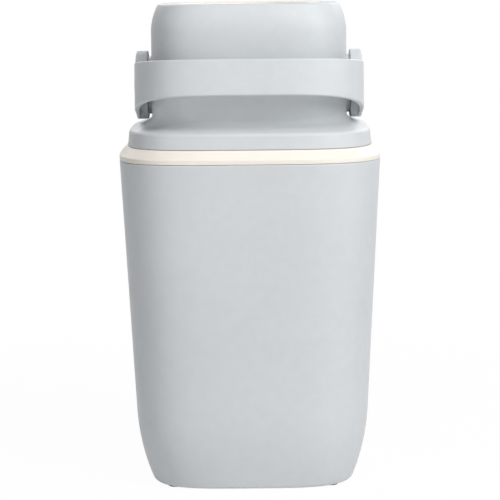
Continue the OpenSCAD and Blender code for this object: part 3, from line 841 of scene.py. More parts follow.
def squared_place(half: float, turn: float) -> tuple[float, float]:
    """A point of the rounded square of a half width, as the CAD spaces them.

    Args:
        half: The half width.
        turn: The point's angle, in degrees.

    Returns:
        X and Y.
    """
    cos, sin = math.cos(math.radians(turn)), math.sin(math.radians(turn))
    return tuple(half * math.copysign(abs(v) ** (2 / SQUARENESS), v) for v in (cos, sin))


# ---- The bin -----------------------------------------------------------------------


@dataclass(frozen=True)
class Datum:
    """The levels and widths that several sub-assemblies share."""

    rim_half: float = 136.7
    bucket_h: float = 341.0
    waist_half: float = 123.0
    waist_z: float = 76.0
    bucket_wall: float = 2.6
    fit: float = 0.3
    ring_z: float = 341.3
    ring_top_z: float = 355.0
    ring_top_half: float = 128.5
    ledge_half: float = 118.0
    head_z: float = 355.3
    pivot_z: float = 415.6
    top_z: float = 501.3
    neck_half: float = 102.3
    ball_r: float = 80.0
    well_r: float = 60.0
    throat_r: float = 60.8
    seal_out_r: float = 66.0
    seal_rise: float = 55.915
    hinge_y: float = 132.2
    hinge_z: float = 362.0
    hinge_lug_x: float = 29.0
    hinge_half: float = 28.0
    knuckle_r: float = 4.5
    hub_r: float = 30.6
    stub_r: float = 35.4
    stub_x: float = 82.0
    ear_x: float = 106.5
    plate_z: float = 357.6
    boss_half: float = 106.2
    screw_hole_r: float = 2.05

    def on_axis(self, side: Side) -> Matrix:
        """The frame whose Z runs out along the handle's axis on one side."""
        return (Matrix.Translation((0, 0, self.pivot_z))
                @ Matrix.Rotation(math.radians(90 * side.value), 4, "Y"))

    def on_hinge(self) -> Matrix:
        """The frame whose Z runs along the hinge."""
        return (Matrix.Translation((0, self.hinge_y, self.hinge_z))
                @ Matrix.Rotation(math.pi / 2, 4, "Y"))

    def boss_places(self) -> list[tuple[float, float]]:
        """Where the head's eight screw bosses stand."""
        return [squared_place(self.boss_half, 45 * k) for k in range(8)]

    def knuckle(self, start: float, end: float, foot: Sequence[Sequence[float]]) -> bpy.types.Mesh:
        """A hinge knuckle along X, which narrows to its foot.

        Args:
            start: Its first X.
            end: Its last X.
            foot: The two corners of its foot, as Y and Z.

        Returns:
            The mesh.
        """
        centre = Vector((self.hinge_y, self.hinge_z))
        rim = [centre + self.knuckle_r * Vector((math.cos(a), math.sin(a)))
               for a in (math.tau * k / 64 for k in range(64))]
        return prism(convex([*rim, *(Vector(p) for p in foot)]), start, end)

    def hinge_bore(self, r: float) -> bpy.types.Mesh:
        """The tool that bores the hinge. It reaches well past the knuckles."""
        reach = 60
        return turned([(0, -reach), (r, -reach), (r, reach), (0, reach)], STEEL, steps=32,
                      closed=False, place=self.on_hinge())


def convex(points: Sequence[Vector]) -> list[Vector]:
    """The convex outline of flat points, counter-clockwise."""
    ordered = sorted({(round(p.x, 5), round(p.y, 5)) for p in points})
    halves = []
    for run in (ordered, ordered[::-1]):
        half: list[tuple[float, float]] = []
        for p in run:
            while len(half) > 1 and ((half[-1][0] - half[-2][0]) * (p[1] - half[-2][1])
                                     - (half[-1][1] - half[-2][1]) * (p[0] - half[-2][0])) <= 1e-9:
                half.pop()
            half.append(p)
        halves += half[:-1]
    return [Vector(p) for p in halves]


@dataclass
class Bucket:
    """The bucket and the rubber pads it stands on."""

    datum: Datum
    base_half: float = 107.5
    base_edge_r: float = 4.5
    base_recess: float = 3.0
    base_band: float = 18.0
    foot_z: float = 1.5
    pad_r: float = 8.0
    pad_pocket: float = 1.2

    @property
    def edge_top(self) -> Vector:
        """Where the wall meets the rounding of the base's edge."""
        return Vector((self.base_half, self.foot_z + 0.58 * self.base_edge_r))

    def wall(self, inset: float) -> tuple[list[Corner], float]:
        """The curve of the wall from the base's edge up to the waist.

        Args:
            inset: How far inside the outer face the curve lies.

        Returns:
            The curve, and the wall's lean where it meets the base, in degrees.
        """
        d = self.datum
        lean = math.atan((d.rim_half - d.waist_half) / (d.bucket_h - d.waist_z))
        start = Vector((d.waist_half, d.waist_z))
        chord, inward = self.edge_top - start, Vector((-math.cos(lean), math.sin(lean)))
        r = chord.length_squared / (2 * chord.dot(inward))
        turn = 2 * math.asin(chord.length / (2 * r))
        low = math.degrees(lean + turn)
        return arc(start + r * inward, r - inset, -low, -math.degrees(lean), 28), low

    def pad_places(self) -> list[tuple[float, float]]:
        """Where the four pads are."""
        half = self.base_half - self.base_band / 2 - 1.5
        return [squared_place(half, 45 + 90 * k) for k in range(4)]

    def shell(self) -> bpy.types.Mesh:
        """The bucket: rolled outer edge, raised underside and pad pockets.

        Returns:
            The mesh.
        """
        d = self.datum
        outer, low = self.wall(0)
        turn = math.radians(low)
        edge = self.edge_top + self.base_edge_r * Vector((-math.cos(turn), math.sin(turn)))
        raised = self.foot_z + self.base_recess
        floor_z = raised + d.bucket_wall
        inner = [c for c in self.wall(d.bucket_wall)[0] if c.height > floor_z + 6]
        floor_half = inner[0].half - 1.5
        band = self.base_half - self.base_band
        step_z = raised - 0.5
        below = rounded([(0, raised), (24, raised), (25, step_z, 0.4), (band - 6, step_z),
                         (band - 1, step_z, 1.2), (band, self.foot_z, 0.4), (edge.x, self.foot_z)],
                        closed=False)
        top = rounded([inner[-1], (d.rim_half - d.bucket_wall - 0.13, d.bucket_h - 2),
                       (d.rim_half - d.bucket_wall, d.bucket_h, 0.6), (d.rim_half, d.bucket_h, 1.05),
                       (d.rim_half - 0.13, d.bucket_h - 2.6), outer[-1]], closed=False)
        profile = [*below[:-1], *arc(edge, self.base_edge_r, -90, -low, 8), *outer[1:-1],
                   *top[::-1], *inner[::-1][1:],
                   *rounded([inner[0], (floor_half, floor_z, 4), (0, floor_z)], closed=False)[1:]]
        shell = turned(profile, BODY, SQUARENESS, 256, closed=False)
        pocket = [(0, self.foot_z - 1), (self.pad_r + 0.2, self.foot_z - 1),
                  (self.pad_r + 0.2, self.foot_z + self.pad_pocket), (0, self.foot_z + self.pad_pocket)]
        tools = [turned(pocket, BODY, steps=48, closed=False, place=Matrix.Translation((x, y, 0)))
                 for x, y in self.pad_places()]
        return worked(shell, Cut.AWAY, *tools)

    def pads(self) -> bpy.types.Mesh:
        """The pads, with a soft edge where they meet the floor.

        Returns:
            Four copies of one pad.
        """
        height = self.foot_z + self.pad_pocket
        pad = turned(rounded([(0, 0), (self.pad_r, 0, 0.7), (self.pad_r, height, 0.2), (0, height)],
                             closed=False), RUBBER, steps=64, closed=False)
        return copied(pad, [((x, y, 0), (0, 0, 1)) for x, y in self.pad_places()], RUBBER)

    def build(self) -> None:
        """Builds and dresses the sub-assembly."""
        piece(self.shell(), "bucket_moulding", "bucket", "shell_grey", BODY, "bucket")
        piece(self.pads(), "rubber_feet", "bucket", "dark_rubber", RUBBER, "foot_pads")


@dataclass
class BagRing:
    """The cream ring that clamps the bag on the bucket's rim, and the hinge's pin."""

    datum: Datum
    edge_h: float = 4.5
    skirt_h: float = 23.0
    wall: float = 2.6
    film_gap: float = 0.6
    knuckle_l: float = 18.0
    pin_r: float = 1.75

    def ring(self) -> bpy.types.Mesh:
        """The ring with its bevel, ledge, skirt and two hinge knuckles.

        Returns:
            The mesh.
        """
        d = self.datum
        skirt = d.rim_half - d.bucket_wall - self.film_gap
        inner = skirt - self.wall
        low = d.ring_z - self.skirt_h
        lean = (d.rim_half - d.waist_half) / (d.bucket_h - d.waist_z) * self.skirt_h
        edge_z = d.ring_z + self.edge_h
        slope = (d.rim_half - d.ring_top_half) / (d.ring_top_z - edge_z)
        bevel = d.rim_half - self.wall * math.sqrt(1 + slope * slope)
        under = d.ring_top_z - self.wall
        profile = rounded([
            (d.rim_half, d.ring_z, 0.5), (d.rim_half, edge_z, 1.3), (d.ring_top_half, d.ring_top_z, 0.9),
            (d.ledge_half, d.ring_top_z, 0.6), (d.ledge_half, under, 0.4),
            (bevel - (under - edge_z) * slope, under, 0.4), (inner, edge_z + (bevel - inner) / slope, 0.4),
            (inner - lean, low, 0.8), (skirt - lean, low, 0.8), (skirt, d.ring_z, 0.2)])
        ring = turned(profile, CREAM, SQUARENESS, 256)
        foot = [(d.hinge_y - 3.6, edge_z - 1), (d.hinge_y + 3, edge_z - 1)]
        for start in (d.hinge_lug_x, -d.hinge_lug_x - self.knuckle_l):
            ring = worked(ring, Cut.ON, d.knuckle(start, start + self.knuckle_l, foot))
        return worked(ring, Cut.AWAY, d.hinge_bore(self.pin_r + 0.05))

    def pin(self) -> bpy.types.Mesh:
        """The hinge's pin, with domed ends.

        Returns:
            The mesh.
        """
        d = self.datum
        half = d.hinge_half + self.knuckle_l + 0.8
        profile = rounded([(0, -half), (self.pin_r, -half, 0.9), (self.pin_r, half, 0.9), (0, half)],
                          closed=False)
        return turned(profile, STEEL, steps=48, closed=False, place=d.on_hinge())

    def build(self) -> None:
        """Builds and dresses the sub-assembly."""
        piece(self.ring(), "bag_ring_moulding", "bag_ring", "ring_cream", CREAM, "bag_ring")
        piece(self.pin(), "hinge_pin_steel", "bag_ring", "steel", STEEL, "hinge_pin")


@dataclass
class PanScrew:
    """A pan-headed screw with a six-sided socket. Its head's underside is at the origin."""

    length: float
    shank_r: float = 2.0
    head_r: float = 3.6
    head_h: float = 2.4
    socket_r: float = 1.5
    thread_step: float = 0.45
    thread_depth: float = 0.28

    def mesh(self) -> bpy.types.Mesh:
        """The screw, with its shank along +Z and rings in place of a thread.

        Returns:
            The mesh.
        """
        thread = [Corner(self.shank_r - (self.thread_depth if k % 2 else 0), 2 + self.thread_step * k)
                  for k in range(int((self.length - 4) / self.thread_step))]
        profile = rounded([(0, -self.head_h), (self.head_r - 0.5, -self.head_h, 0.9),
                           (self.head_r, -0.9, 0.6), (self.head_r, 0, 0.15), (self.shank_r, 0, 0.1)],
                          closed=False)[:-1]
        profile += [Corner(self.shank_r, 0), *thread, Corner(self.shank_r - 0.2, self.length - 1.4),
                    Corner(0.9, self.length), Corner(0, self.length)]
        screw = turned(profile, STEEL, steps=32, closed=False)
        socket = ringed([hexagon(self.socket_r, z) for z in (-self.head_h - 1, -self.head_h + 1.2)])
        return worked(screw, Cut.AWAY, socket)


@dataclass
class Head:
    """The hinged head: shell, throat, seals, base plate, its screws and the drum's bushes."""

    datum: Datum
    wall: float = 2.6
    flange_half: float = 127.8
    flange_h: float = 12.6
    flange_draft: float = 1.4
    flange_edge_r: float = 4.8
    shoulder_slope: float = 20.0
    neck_fillet_r: float = 10.0
    crown_r: float = 60.0
    crown_angle: float = 28.0
    top_edge_r: float = 2.8
    plug_h: float = 8.6
    plate_half: float = 124.1
    plate_t: float = 2.6
    boss_top: float = 376.436
    boss_r: float = 3.8
    bush_pad_x: float = 97.7
    bush_bore_r: float = 34.1
    lug_r: float = 41.8
    stop_turn: float = 7.8
    collar_seat: float = 16.2
    collar_lip: float = 15.3
    collar_snap: float = 12.3
    collar_lip_t: float = 1.8

    def side(self, inset: float) -> list[Corner]:
        """The shell's side profile, from its bottom edge up to its top.

        Args:
            inset: How far inside the outer face the profile lies.

        Returns:
            The profile.
        """
        d, slope = self.datum, math.radians(self.shoulder_slope)
        along = Vector((-math.cos(slope), math.sin(slope)))
        out = Vector((math.sin(slope), math.cos(slope)))
        edge = Vector((self.flange_half - self.flange_draft - self.flange_edge_r, d.head_z + self.flange_h))
        start = edge + self.flange_edge_r * out
        run = (start.x + self.neck_fillet_r * out.x - d.neck_half - self.neck_fillet_r) / math.cos(slope)
        fillet = start + run * along + self.neck_fillet_r * out
        crown = math.radians(self.crown_angle)
        crown_z = d.top_z - self.top_edge_r * (1 - math.sin(crown)) - self.crown_r * math.sin(crown)
        centre = Vector((d.neck_half - self.crown_r, crown_z))
        rim = centre + (self.crown_r - self.top_edge_r) * Vector((math.cos(crown), math.sin(crown)))
        r = max(self.top_edge_r - inset, 0.3)
        foot = self.flange_half - inset
        if inset:
            flat = [Corner(foot - 0.1 * inset, d.head_z), Corner(foot, d.head_z + 0.5)]
        else:
            flat = rounded([(foot - self.wall, d.head_z), (foot, d.head_z, 0.8),
                            (foot - 0.9, d.head_z + self.flange_h - 4)], closed=False)[1:-1]
        return [*flat, Corner(foot - self.flange_draft * 0.6, d.head_z + self.flange_h * 0.62),
                *arc(edge, self.flange_edge_r - inset, 5, 90 - self.shoulder_slope, 9),
                *arc(fillet, self.neck_fillet_r + inset, 270 - self.shoulder_slope, 180, 12),
                *arc(centre, self.crown_r - inset, 0, self.crown_angle - 2, 12),
                *arc(rim + Vector((0, self.top_edge_r - r - inset)), r, self.crown_angle + 4, 90, 8)]

    def shell(self) -> bpy.types.Mesh:
        """The shell, with a seat for the collar, a bore for each bush and its hinge knuckle.

        Returns:
            The mesh.
        """
        d = self.datum
        seat, depth = d.throat_r + self.collar_seat, self.collar_lip_t
        top = rounded([(d.neck_half - 10, d.top_z, 0, SQUARENESS), (seat, d.top_z, 0.5, 2),
                       (seat, d.top_z - depth, 0, 2), (seat - 3.5, d.top_z - depth, 0, 2),
                       (seat - 3.5, d.top_z - depth - self.wall, 0, 2),
                       (seat - 0.5, d.top_z - depth - self.wall, 0, 2.4)], closed=False)[1:]
        shell = turned([*self.side(0), *top, *self.side(self.wall)[::-1]], BODY, SQUARENESS, 256)
        foot = [(self.flange_half - 2.2, d.hinge_z + up) for up in (-4.2, 4.2)]
        shell = worked(shell, Cut.ON, d.knuckle(-d.hinge_half, d.hinge_half, foot))
        bore_r, chamfer = self.bush_bore_r, 2.5
        bore = rounded([(0, self.bush_pad_x - 4), (bore_r, self.bush_pad_x - 4),
                        (bore_r, d.neck_half + 1.75 - chamfer), (bore_r + chamfer, d.neck_half + 1.75),
                        (0, d.neck_half + 1.75)], closed=False)
        tools = [turned(bore, BODY, closed=False, place=d.on_axis(side)) for side in Side]
        shell = worked(shell, Cut.AWAY, *tools, d.hinge_bore(1.85))
        pad = rounded([(bore_r, self.bush_pad_x), (self.lug_r + 1, self.bush_pad_x, 0.5),
                       (self.lug_r + 1, d.neck_half - 1), (bore_r, d.neck_half - 1)])
        pads = [turned(pad, BODY, place=d.on_axis(side)) for side in Side]
        low, hole_r = d.plate_z + self.plate_t, d.screw_hole_r
        boss = rounded([(hole_r, low, 0.2), (self.boss_r, low, 0.4), (self.boss_r, self.boss_top),
                        (hole_r, self.boss_top)])
        bosses = [turned(boss, BODY, steps=32, place=Matrix.Translation((x, y, 0)))
                  for x, y in d.boss_places()]
        webs = [self.boss_web(45 * k) for k in range(8)]
        return joined(shell, *bosses, *webs, *pads)

    def boss_web(self, angle: float) -> bpy.types.Mesh:
        """The web that ties a screw boss to the flange.

        Args:
            angle: Where the boss stands, in degrees about Z.

        Returns:
            The mesh.
        """
        d = self.datum
        low, high = d.plate_z + self.plate_t + d.fit, d.head_z + self.flange_h - 2
        outer = self.flange_half - self.flange_draft - self.wall / 2
        ends = [math.hypot(*squared_place(half, angle)) for half in (d.boss_half + 3, outer)]
        web = prism([(-1, low), (1, low), (1, high), (-1, high)], *ends, edge=0.2)
        web.transform(Matrix.Rotation(math.radians(angle), 4, "Z"))
        return web

    def collar(self) -> bpy.types.Mesh:
        """The throat collar: a rounded lip, a funnel, the throat and the upper seal's seat.

        Returns:
            The mesh.
        """
        d = self.datum
        rise, wall, r = d.top_z - d.pivot_z, d.seal_out_r + 3, d.throat_r
        snap, lip, low = r + self.collar_snap, r + self.collar_lip, rise - self.collar_lip_t
        profile = rounded([
            (lip, low, 0.2), (lip, rise, 0.8), (r + 9.4, rise, 2.4),
            (r + 5, rise - 9, 9), (r + 0.8, rise - 17, 12), (r, rise - 24, 6), (r, d.seal_rise, 0.3),
            (d.seal_out_r + 0.2, d.seal_rise), (d.seal_out_r + 0.2, d.seal_rise - 5, 0.3),
            (wall, d.seal_rise - 5, 0.5), (wall, rise - 14, 1), (snap, rise - 6.4),
            (snap + 1.1, rise - 5.4, 0.3), (snap, rise - 4.7), (snap, low)], steps=6)
        return turned(profile, CREAM, steps=192, place=Matrix.Translation((0, 0, d.pivot_z)))

    def seal(self, up: int) -> bpy.types.Mesh:
        """A lip seal that follows the ball.

        Args:
            up: 1 for the upper seal and -1 for the lower one.

        Returns:
            The mesh.
        """
        d = self.datum
        reach = d.ball_r + d.fit
        turns = [math.acos((d.well_r + 1.2 + 4.6 * k / 6) / reach) for k in range(7)]
        lip = [Corner(reach * math.cos(a), reach * math.sin(a)) for a in turns]
        inner, outer = d.well_r + 1, d.seal_out_r
        profile = rounded([(inner, d.seal_rise, 0.5), (inner, lip[0].height + 0.15, 0.25), *lip,
                           (outer, lip[-1].height + 0.1, 0.2), (outer, d.seal_rise, 0.5)])
        mesh = turned(profile, SEAL, steps=192)
        mesh.transform(Matrix.Translation((0, 0, d.pivot_z)) @ Matrix.Diagonal((1, 1, up, 1)))
        return cleaned(mesh)

    def base(self) -> bpy.types.Mesh:
        """The base plate, with its plug ring, the outlet's seat, ribs and screw holes.

        Returns:
            The mesh.
        """
        d, low = self.datum, self.datum.plate_z
        outer, seat_z = d.ledge_half - 1.1, d.pivot_z - d.seal_rise
        wall = d.seal_out_r + 3
        profile = rounded([
            (d.throat_r, low, 0.6, 2), (wall + 1, low, 0, 2), (outer - 2.2, low, 0.8),
            (outer - 2.2, low - self.plug_h, 0.6), (outer, low - self.plug_h, 1.0), (outer, low, 0.6),
            (self.plate_half, low, 0.4), (self.plate_half, low + self.plate_t, 0.6),
            (wall + 1, low + self.plate_t, 0, 2), (wall, low + self.plate_t, 0.8, 2),
            (wall, seat_z + 5, 0.6, 2), (d.seal_out_r + 0.2, seat_z + 5, 0.4, 2),
            (d.seal_out_r + 0.2, seat_z, 0, 2), (d.throat_r, seat_z, 0.4, 2)])
        plate = turned(profile, BODY, SQUARENESS, 256)
        hole = rounded([(0, low - 1), (3.4, low - 1), (2.2, low + 0.3), (2.2, low + 12), (0, low + 12)],
                       closed=False)
        tools = [turned(hole, BODY, steps=32, closed=False, place=Matrix.Translation((x, y, 0)))
                 for x, y in d.boss_places()]
        ribs = grown(bpy.data.meshes.new("start"), Trees.ribs(), Count=8, Inner_radius=d.seal_out_r + 2,
                     Length=self.plate_half - d.seal_out_r - 8, Width=2.0, Height=self.plate_t + 3,
                     Base=low, Edge=0.5, Finish=BODY.material())
        return joined(worked(plate, Cut.AWAY, *tools), ribs)

    def bush(self, side: Side) -> bpy.types.Mesh:
        """A drum bush: sleeve, flange, two pegs and the rail that stops the drum.

        Args:
            side: The bush's side.

        Returns:
            The mesh.
        """
        d = self.datum
        bore, outer = d.hub_r + d.fit, d.hub_r + d.fit + 3
        start = d.stub_x + 0.4
        flange = self.bush_pad_x - 0.05
        ring = turned(rounded([
            (bore, start, 0.4), (outer, start, 0.4), (outer, flange - 3, 0.3), (self.lug_r, flange - 3, 0.5),
            (self.lug_r, flange, 0.4), (outer, flange, 0.2), (outer, d.neck_half - 0.3, 0.5),
            (bore, d.neck_half - 0.3, 0.5)]), BEARING, place=d.on_axis(side))
        low, high, stop = d.stub_x - 5, flange - 0.5, math.radians(self.stop_turn)
        rail = swept([(d.stub_r + 1, low), (self.lug_r, low), (self.lug_r, high), (d.stub_r + 1, high)],
                     math.pi + stop, math.pi - 2 * stop, 48)
        rail.transform(d.on_axis(side))
        peg = rounded([(0, flange - 1), (1.5, flange - 1), (1.5, flange + 2, 0.4), (0, flange + 2)],
                      closed=False)
        pegs = [turned(peg, BEARING, steps=24, closed=False,
                       place=d.on_axis(side) @ Matrix.Translation((0, y, 0)))
                for y in (-(self.lug_r - 2.4), self.lug_r - 2.4)]
        return joined(ring, rail, *pegs)

    def build(self) -> None:
        """Builds and dresses the sub-assembly."""
        d = self.datum
        piece(self.shell(), "head_moulding", "head", "shell_grey", BODY, "head_shell")
        piece(self.collar(), "throat_moulding", "head", "ring_cream", CREAM, "throat_collar")
        piece(self.seal(1), "upper_lip_seal", "head", "seal_rubber", SEAL, "upper_seal")
        piece(self.seal(-1), "lower_lip_seal", "head", "seal_rubber", SEAL, "lower_seal")
        piece(self.base(), "base_moulding", "head", "shell_grey", BODY, "head_base")
        for side in Side:
            name = side.name.lower()
            piece(self.bush(side), f"{name}_bush", "head", "bearing_white", BEARING, f"pivot_bush_{name}")
        length = self.boss_top - d.plate_z - 3.5
        spots = [((x, y, d.plate_z), (0, 0, 1)) for x, y in d.boss_places()]
        piece(copied(PanScrew(length).mesh(), spots, STEEL, math.tau), "base_plate_screws", "head",
              "steel", STEEL, "base_screws")
        dress("head_gasket", SEAL)


@dataclass
class Drum:
    """The ball-shaped drum with the well through it, its sleeve and its two hubs."""

    datum: Datum
    wall: float = 3.0
    mouth_r: float = 57.5
    mouth_rise: float = 53.477
    spigot_r: float = 17.8
    screw_circle: float = 22.6
    sleeve_wall: float = 2.5
    hex_r: float = 13.0
    hex_len: float = 4.5
    web: float = 6.0
    screw_length: float = 17.0
    lug_turn: float = 7.0

    def screw_places(self) -> list[tuple[float, float]]:
        """Where a hub's four screws stand round the handle's axis."""
        turns = [math.radians(45 + 90 * k) for k in range(4)]
        return [(self.screw_circle * math.cos(a), self.screw_circle * math.sin(a)) for a in turns]

    def form(self) -> bpy.types.Mesh:
        """The hollow ball with its two stubs, turned about the handle's axis.

        Returns:
            The mesh.
        """
        d = self.datum
        inner, end = d.ball_r - self.wall, d.stub_x - 4
        outside = self.half_arc(d.ball_r, d.stub_r, 1.5)
        inside = self.half_arc(inner, d.stub_r - self.wall, 1.5)
        inner_run = [(self.spigot_r + 0.2, d.stub_x - 9), (self.spigot_r + self.wall, d.stub_x - 9, 0.4),
                     (self.spigot_r + self.wall, end, 0.5), (d.stub_r - self.wall, end, 0.5), *inside]
        outer_run = [(self.spigot_r + 0.2, d.stub_x, 0.3), (d.stub_r, d.stub_x, 0.8), *outside]
        profile = rounded([*inner_run, *self.flipped(inner_run[::-1])[1:], *self.flipped(outer_run),
                           *outer_run[::-1][1:]], steps=4)
        return turned(profile, DRUM, steps=160, place=d.on_axis(Side.RIGHT))

    @staticmethod
    def flipped(corners: Sequence[tuple]) -> list[tuple]:
        """The same corners at the other end of the axis."""
        return [(c[0], -c[1], *c[2:]) for c in corners]

    @staticmethod
    def half_arc(r: float, stub: float, fillet: float, steps: int = 26) -> list[tuple]:
        """A ball's profile from the stub's root to the middle.

        Args:
            r: The ball's radius.
            stub: The stub's radius.
            fillet: The rounding at its root.
            steps: How many steps it has.

        Returns:
            The corners.
        """
        start = math.asin(stub / r)
        turns = [start + (math.pi / 2 - start) * k / steps for k in range(steps + 1)]
        points = [(r * math.sin(a), r * math.cos(a)) for a in turns]
        return [(*points[0], fillet), *points[1:]]

    def half(self, form: bpy.types.Mesh, up: int) -> bpy.types.Mesh:
        """One half of the drum, with a soft mouth.

        Args:
            form: The whole form.
            up: 1 for the upper half and -1 for the lower one.

        Returns:
            The mesh.
        """
        d, rise, r = self.datum, self.mouth_rise, self.mouth_r
        block = turned([(0, 0.05), (150, 0.05), (150, rise), (0, rise)], DRUM, steps=64, closed=False)
        mouth = turned([(0, -1), (r, -1), (r, rise - 0.9), *arc((r + 0.9, rise - 0.9), 0.9, 180, 90, 4)[1:],
                        (r + 0.9, rise + 6), (0, rise + 6)], DRUM, steps=160, closed=False)
        place = Matrix.Translation((0, 0, d.pivot_z)) @ Matrix.Diagonal((1, 1, up, 1))
        for tool in (block, mouth):
            tool.transform(place)
            cleaned(tool)
        half = worked(worked(form.copy(), Cut.TO, block), Cut.AWAY, mouth)
        boss = rounded([(d.screw_hole_r, d.stub_x - 15, 0.3), (4, d.stub_x - 15, 0.5),
                        (4, d.stub_x - 2), (d.screw_hole_r, d.stub_x - 2)])
        extra = []
        for side in Side:
            for x, y in self.screw_places():
                spot = d.on_axis(side) @ Matrix.Translation((x, y, 0))
                if (spot.translation.z - d.pivot_z) * up > 0:
                    extra.append(turned(boss, DRUM, steps=32, place=spot))
            if up > 0:
                extra.append(self.lug(side))
        return joined(half, *extra)

    def lug(self, side: Side) -> bpy.types.Mesh:
        """The stop lug on a stub, which points up at rest."""
        d, middle = self.datum, 180 if side is Side.RIGHT else 0
        lug = swept([(d.stub_r - 1, d.stub_x - 4), (d.stub_r + 6, d.stub_x - 4),
                     (d.stub_r + 6, d.stub_x), (d.stub_r - 1, d.stub_x)],
                    math.radians(middle - self.lug_turn), math.radians(2 * self.lug_turn), 8)
        lug.transform(d.on_axis(side))
        return lug

    def sleeve(self) -> bpy.types.Mesh:
        """The well's sleeve. Its ends follow the inside of the ball.

        Returns:
            The mesh.
        """
        d = self.datum
        reach = d.ball_r - self.wall - 0.1
        outer, inner = d.well_r + self.sleeve_wall, d.well_r
        high, low = math.sqrt(reach ** 2 - inner ** 2), math.sqrt(reach ** 2 - outer ** 2)
        profile = rounded([(inner, -high, 0.4), (inner, high, 0.4), (outer, low, 0.3), (outer, -low, 0.3)])
        return turned(profile, CREAM, steps=192, place=Matrix.Translation((0, 0, d.pivot_z)))

    def hub(self, side: Side) -> bpy.types.Mesh:
        """A hub: a cup with a six-sided post that drives the drum from the handle's ear.

        Args:
            side: The hub's side.

        Returns:
            The mesh.
        """
        d, hole_r = self.datum, self.datum.screw_hole_r
        cup = turned(rounded([
            (self.spigot_r - 3, d.stub_x - 8, 0.4), (self.spigot_r, d.stub_x - 8, 0.6),
            (self.spigot_r, d.stub_x), (d.hub_r, d.stub_x, 0.4), (d.hub_r, d.ear_x - 0.2, 0.7),
            (d.hub_r - 3, d.ear_x - 0.2, 0.7), (d.hub_r - 3, d.stub_x + self.web, 1.0),
            (hole_r, d.stub_x + self.web, 0), (hole_r, d.stub_x, 0), (self.spigot_r - 3, d.stub_x, 0.6)]),
            BEARING)
        end = d.ear_x + self.hex_len
        post = ringed([hexagon(self.hex_r, d.stub_x + 1), hexagon(self.hex_r, end - 0.5),
                       hexagon(self.hex_r - 0.5, end)])
        bore = turned([(0, end - 14), (hole_r, end - 14), (hole_r, end - 0.4), (2.6, end + 0.2),
                       (0, end + 0.2)], BEARING, steps=32, closed=False)
        hub = joined(cup, worked(post, Cut.AWAY, bore))
        hub.transform(d.on_axis(side))
        return hub

    def build(self) -> None:
        """Builds and dresses the sub-assembly."""
        d, form = self.datum, self.form()
        piece(self.half(form, 1), "drum_upper_half", "drum", "drum_grey", DRUM, "drum_upper_shell")
        piece(self.half(form, -1), "drum_lower_half", "drum", "drum_grey", DRUM, "drum_lower_shell")
        piece(self.sleeve(), "well_lining", "drum", "ring_cream", CREAM, "well_sleeve")
        spots = []
        for side in Side:
            name = side.name.lower()
            piece(self.hub(side), f"{name}_hub", "drum", "bearing_white", BEARING, f"pivot_hub_{name}")
            spots += [(d.on_axis(side) @ Vector((x, y, d.stub_x + self.web)), (-side.value, 0, 0))
                      for x, y in self.screw_places()]
        piece(copied(PanScrew(self.screw_length).mesh(), spots, STEEL, math.tau), "hub_plate_screws",
              "drum", "steel", STEEL, "hub_screws")


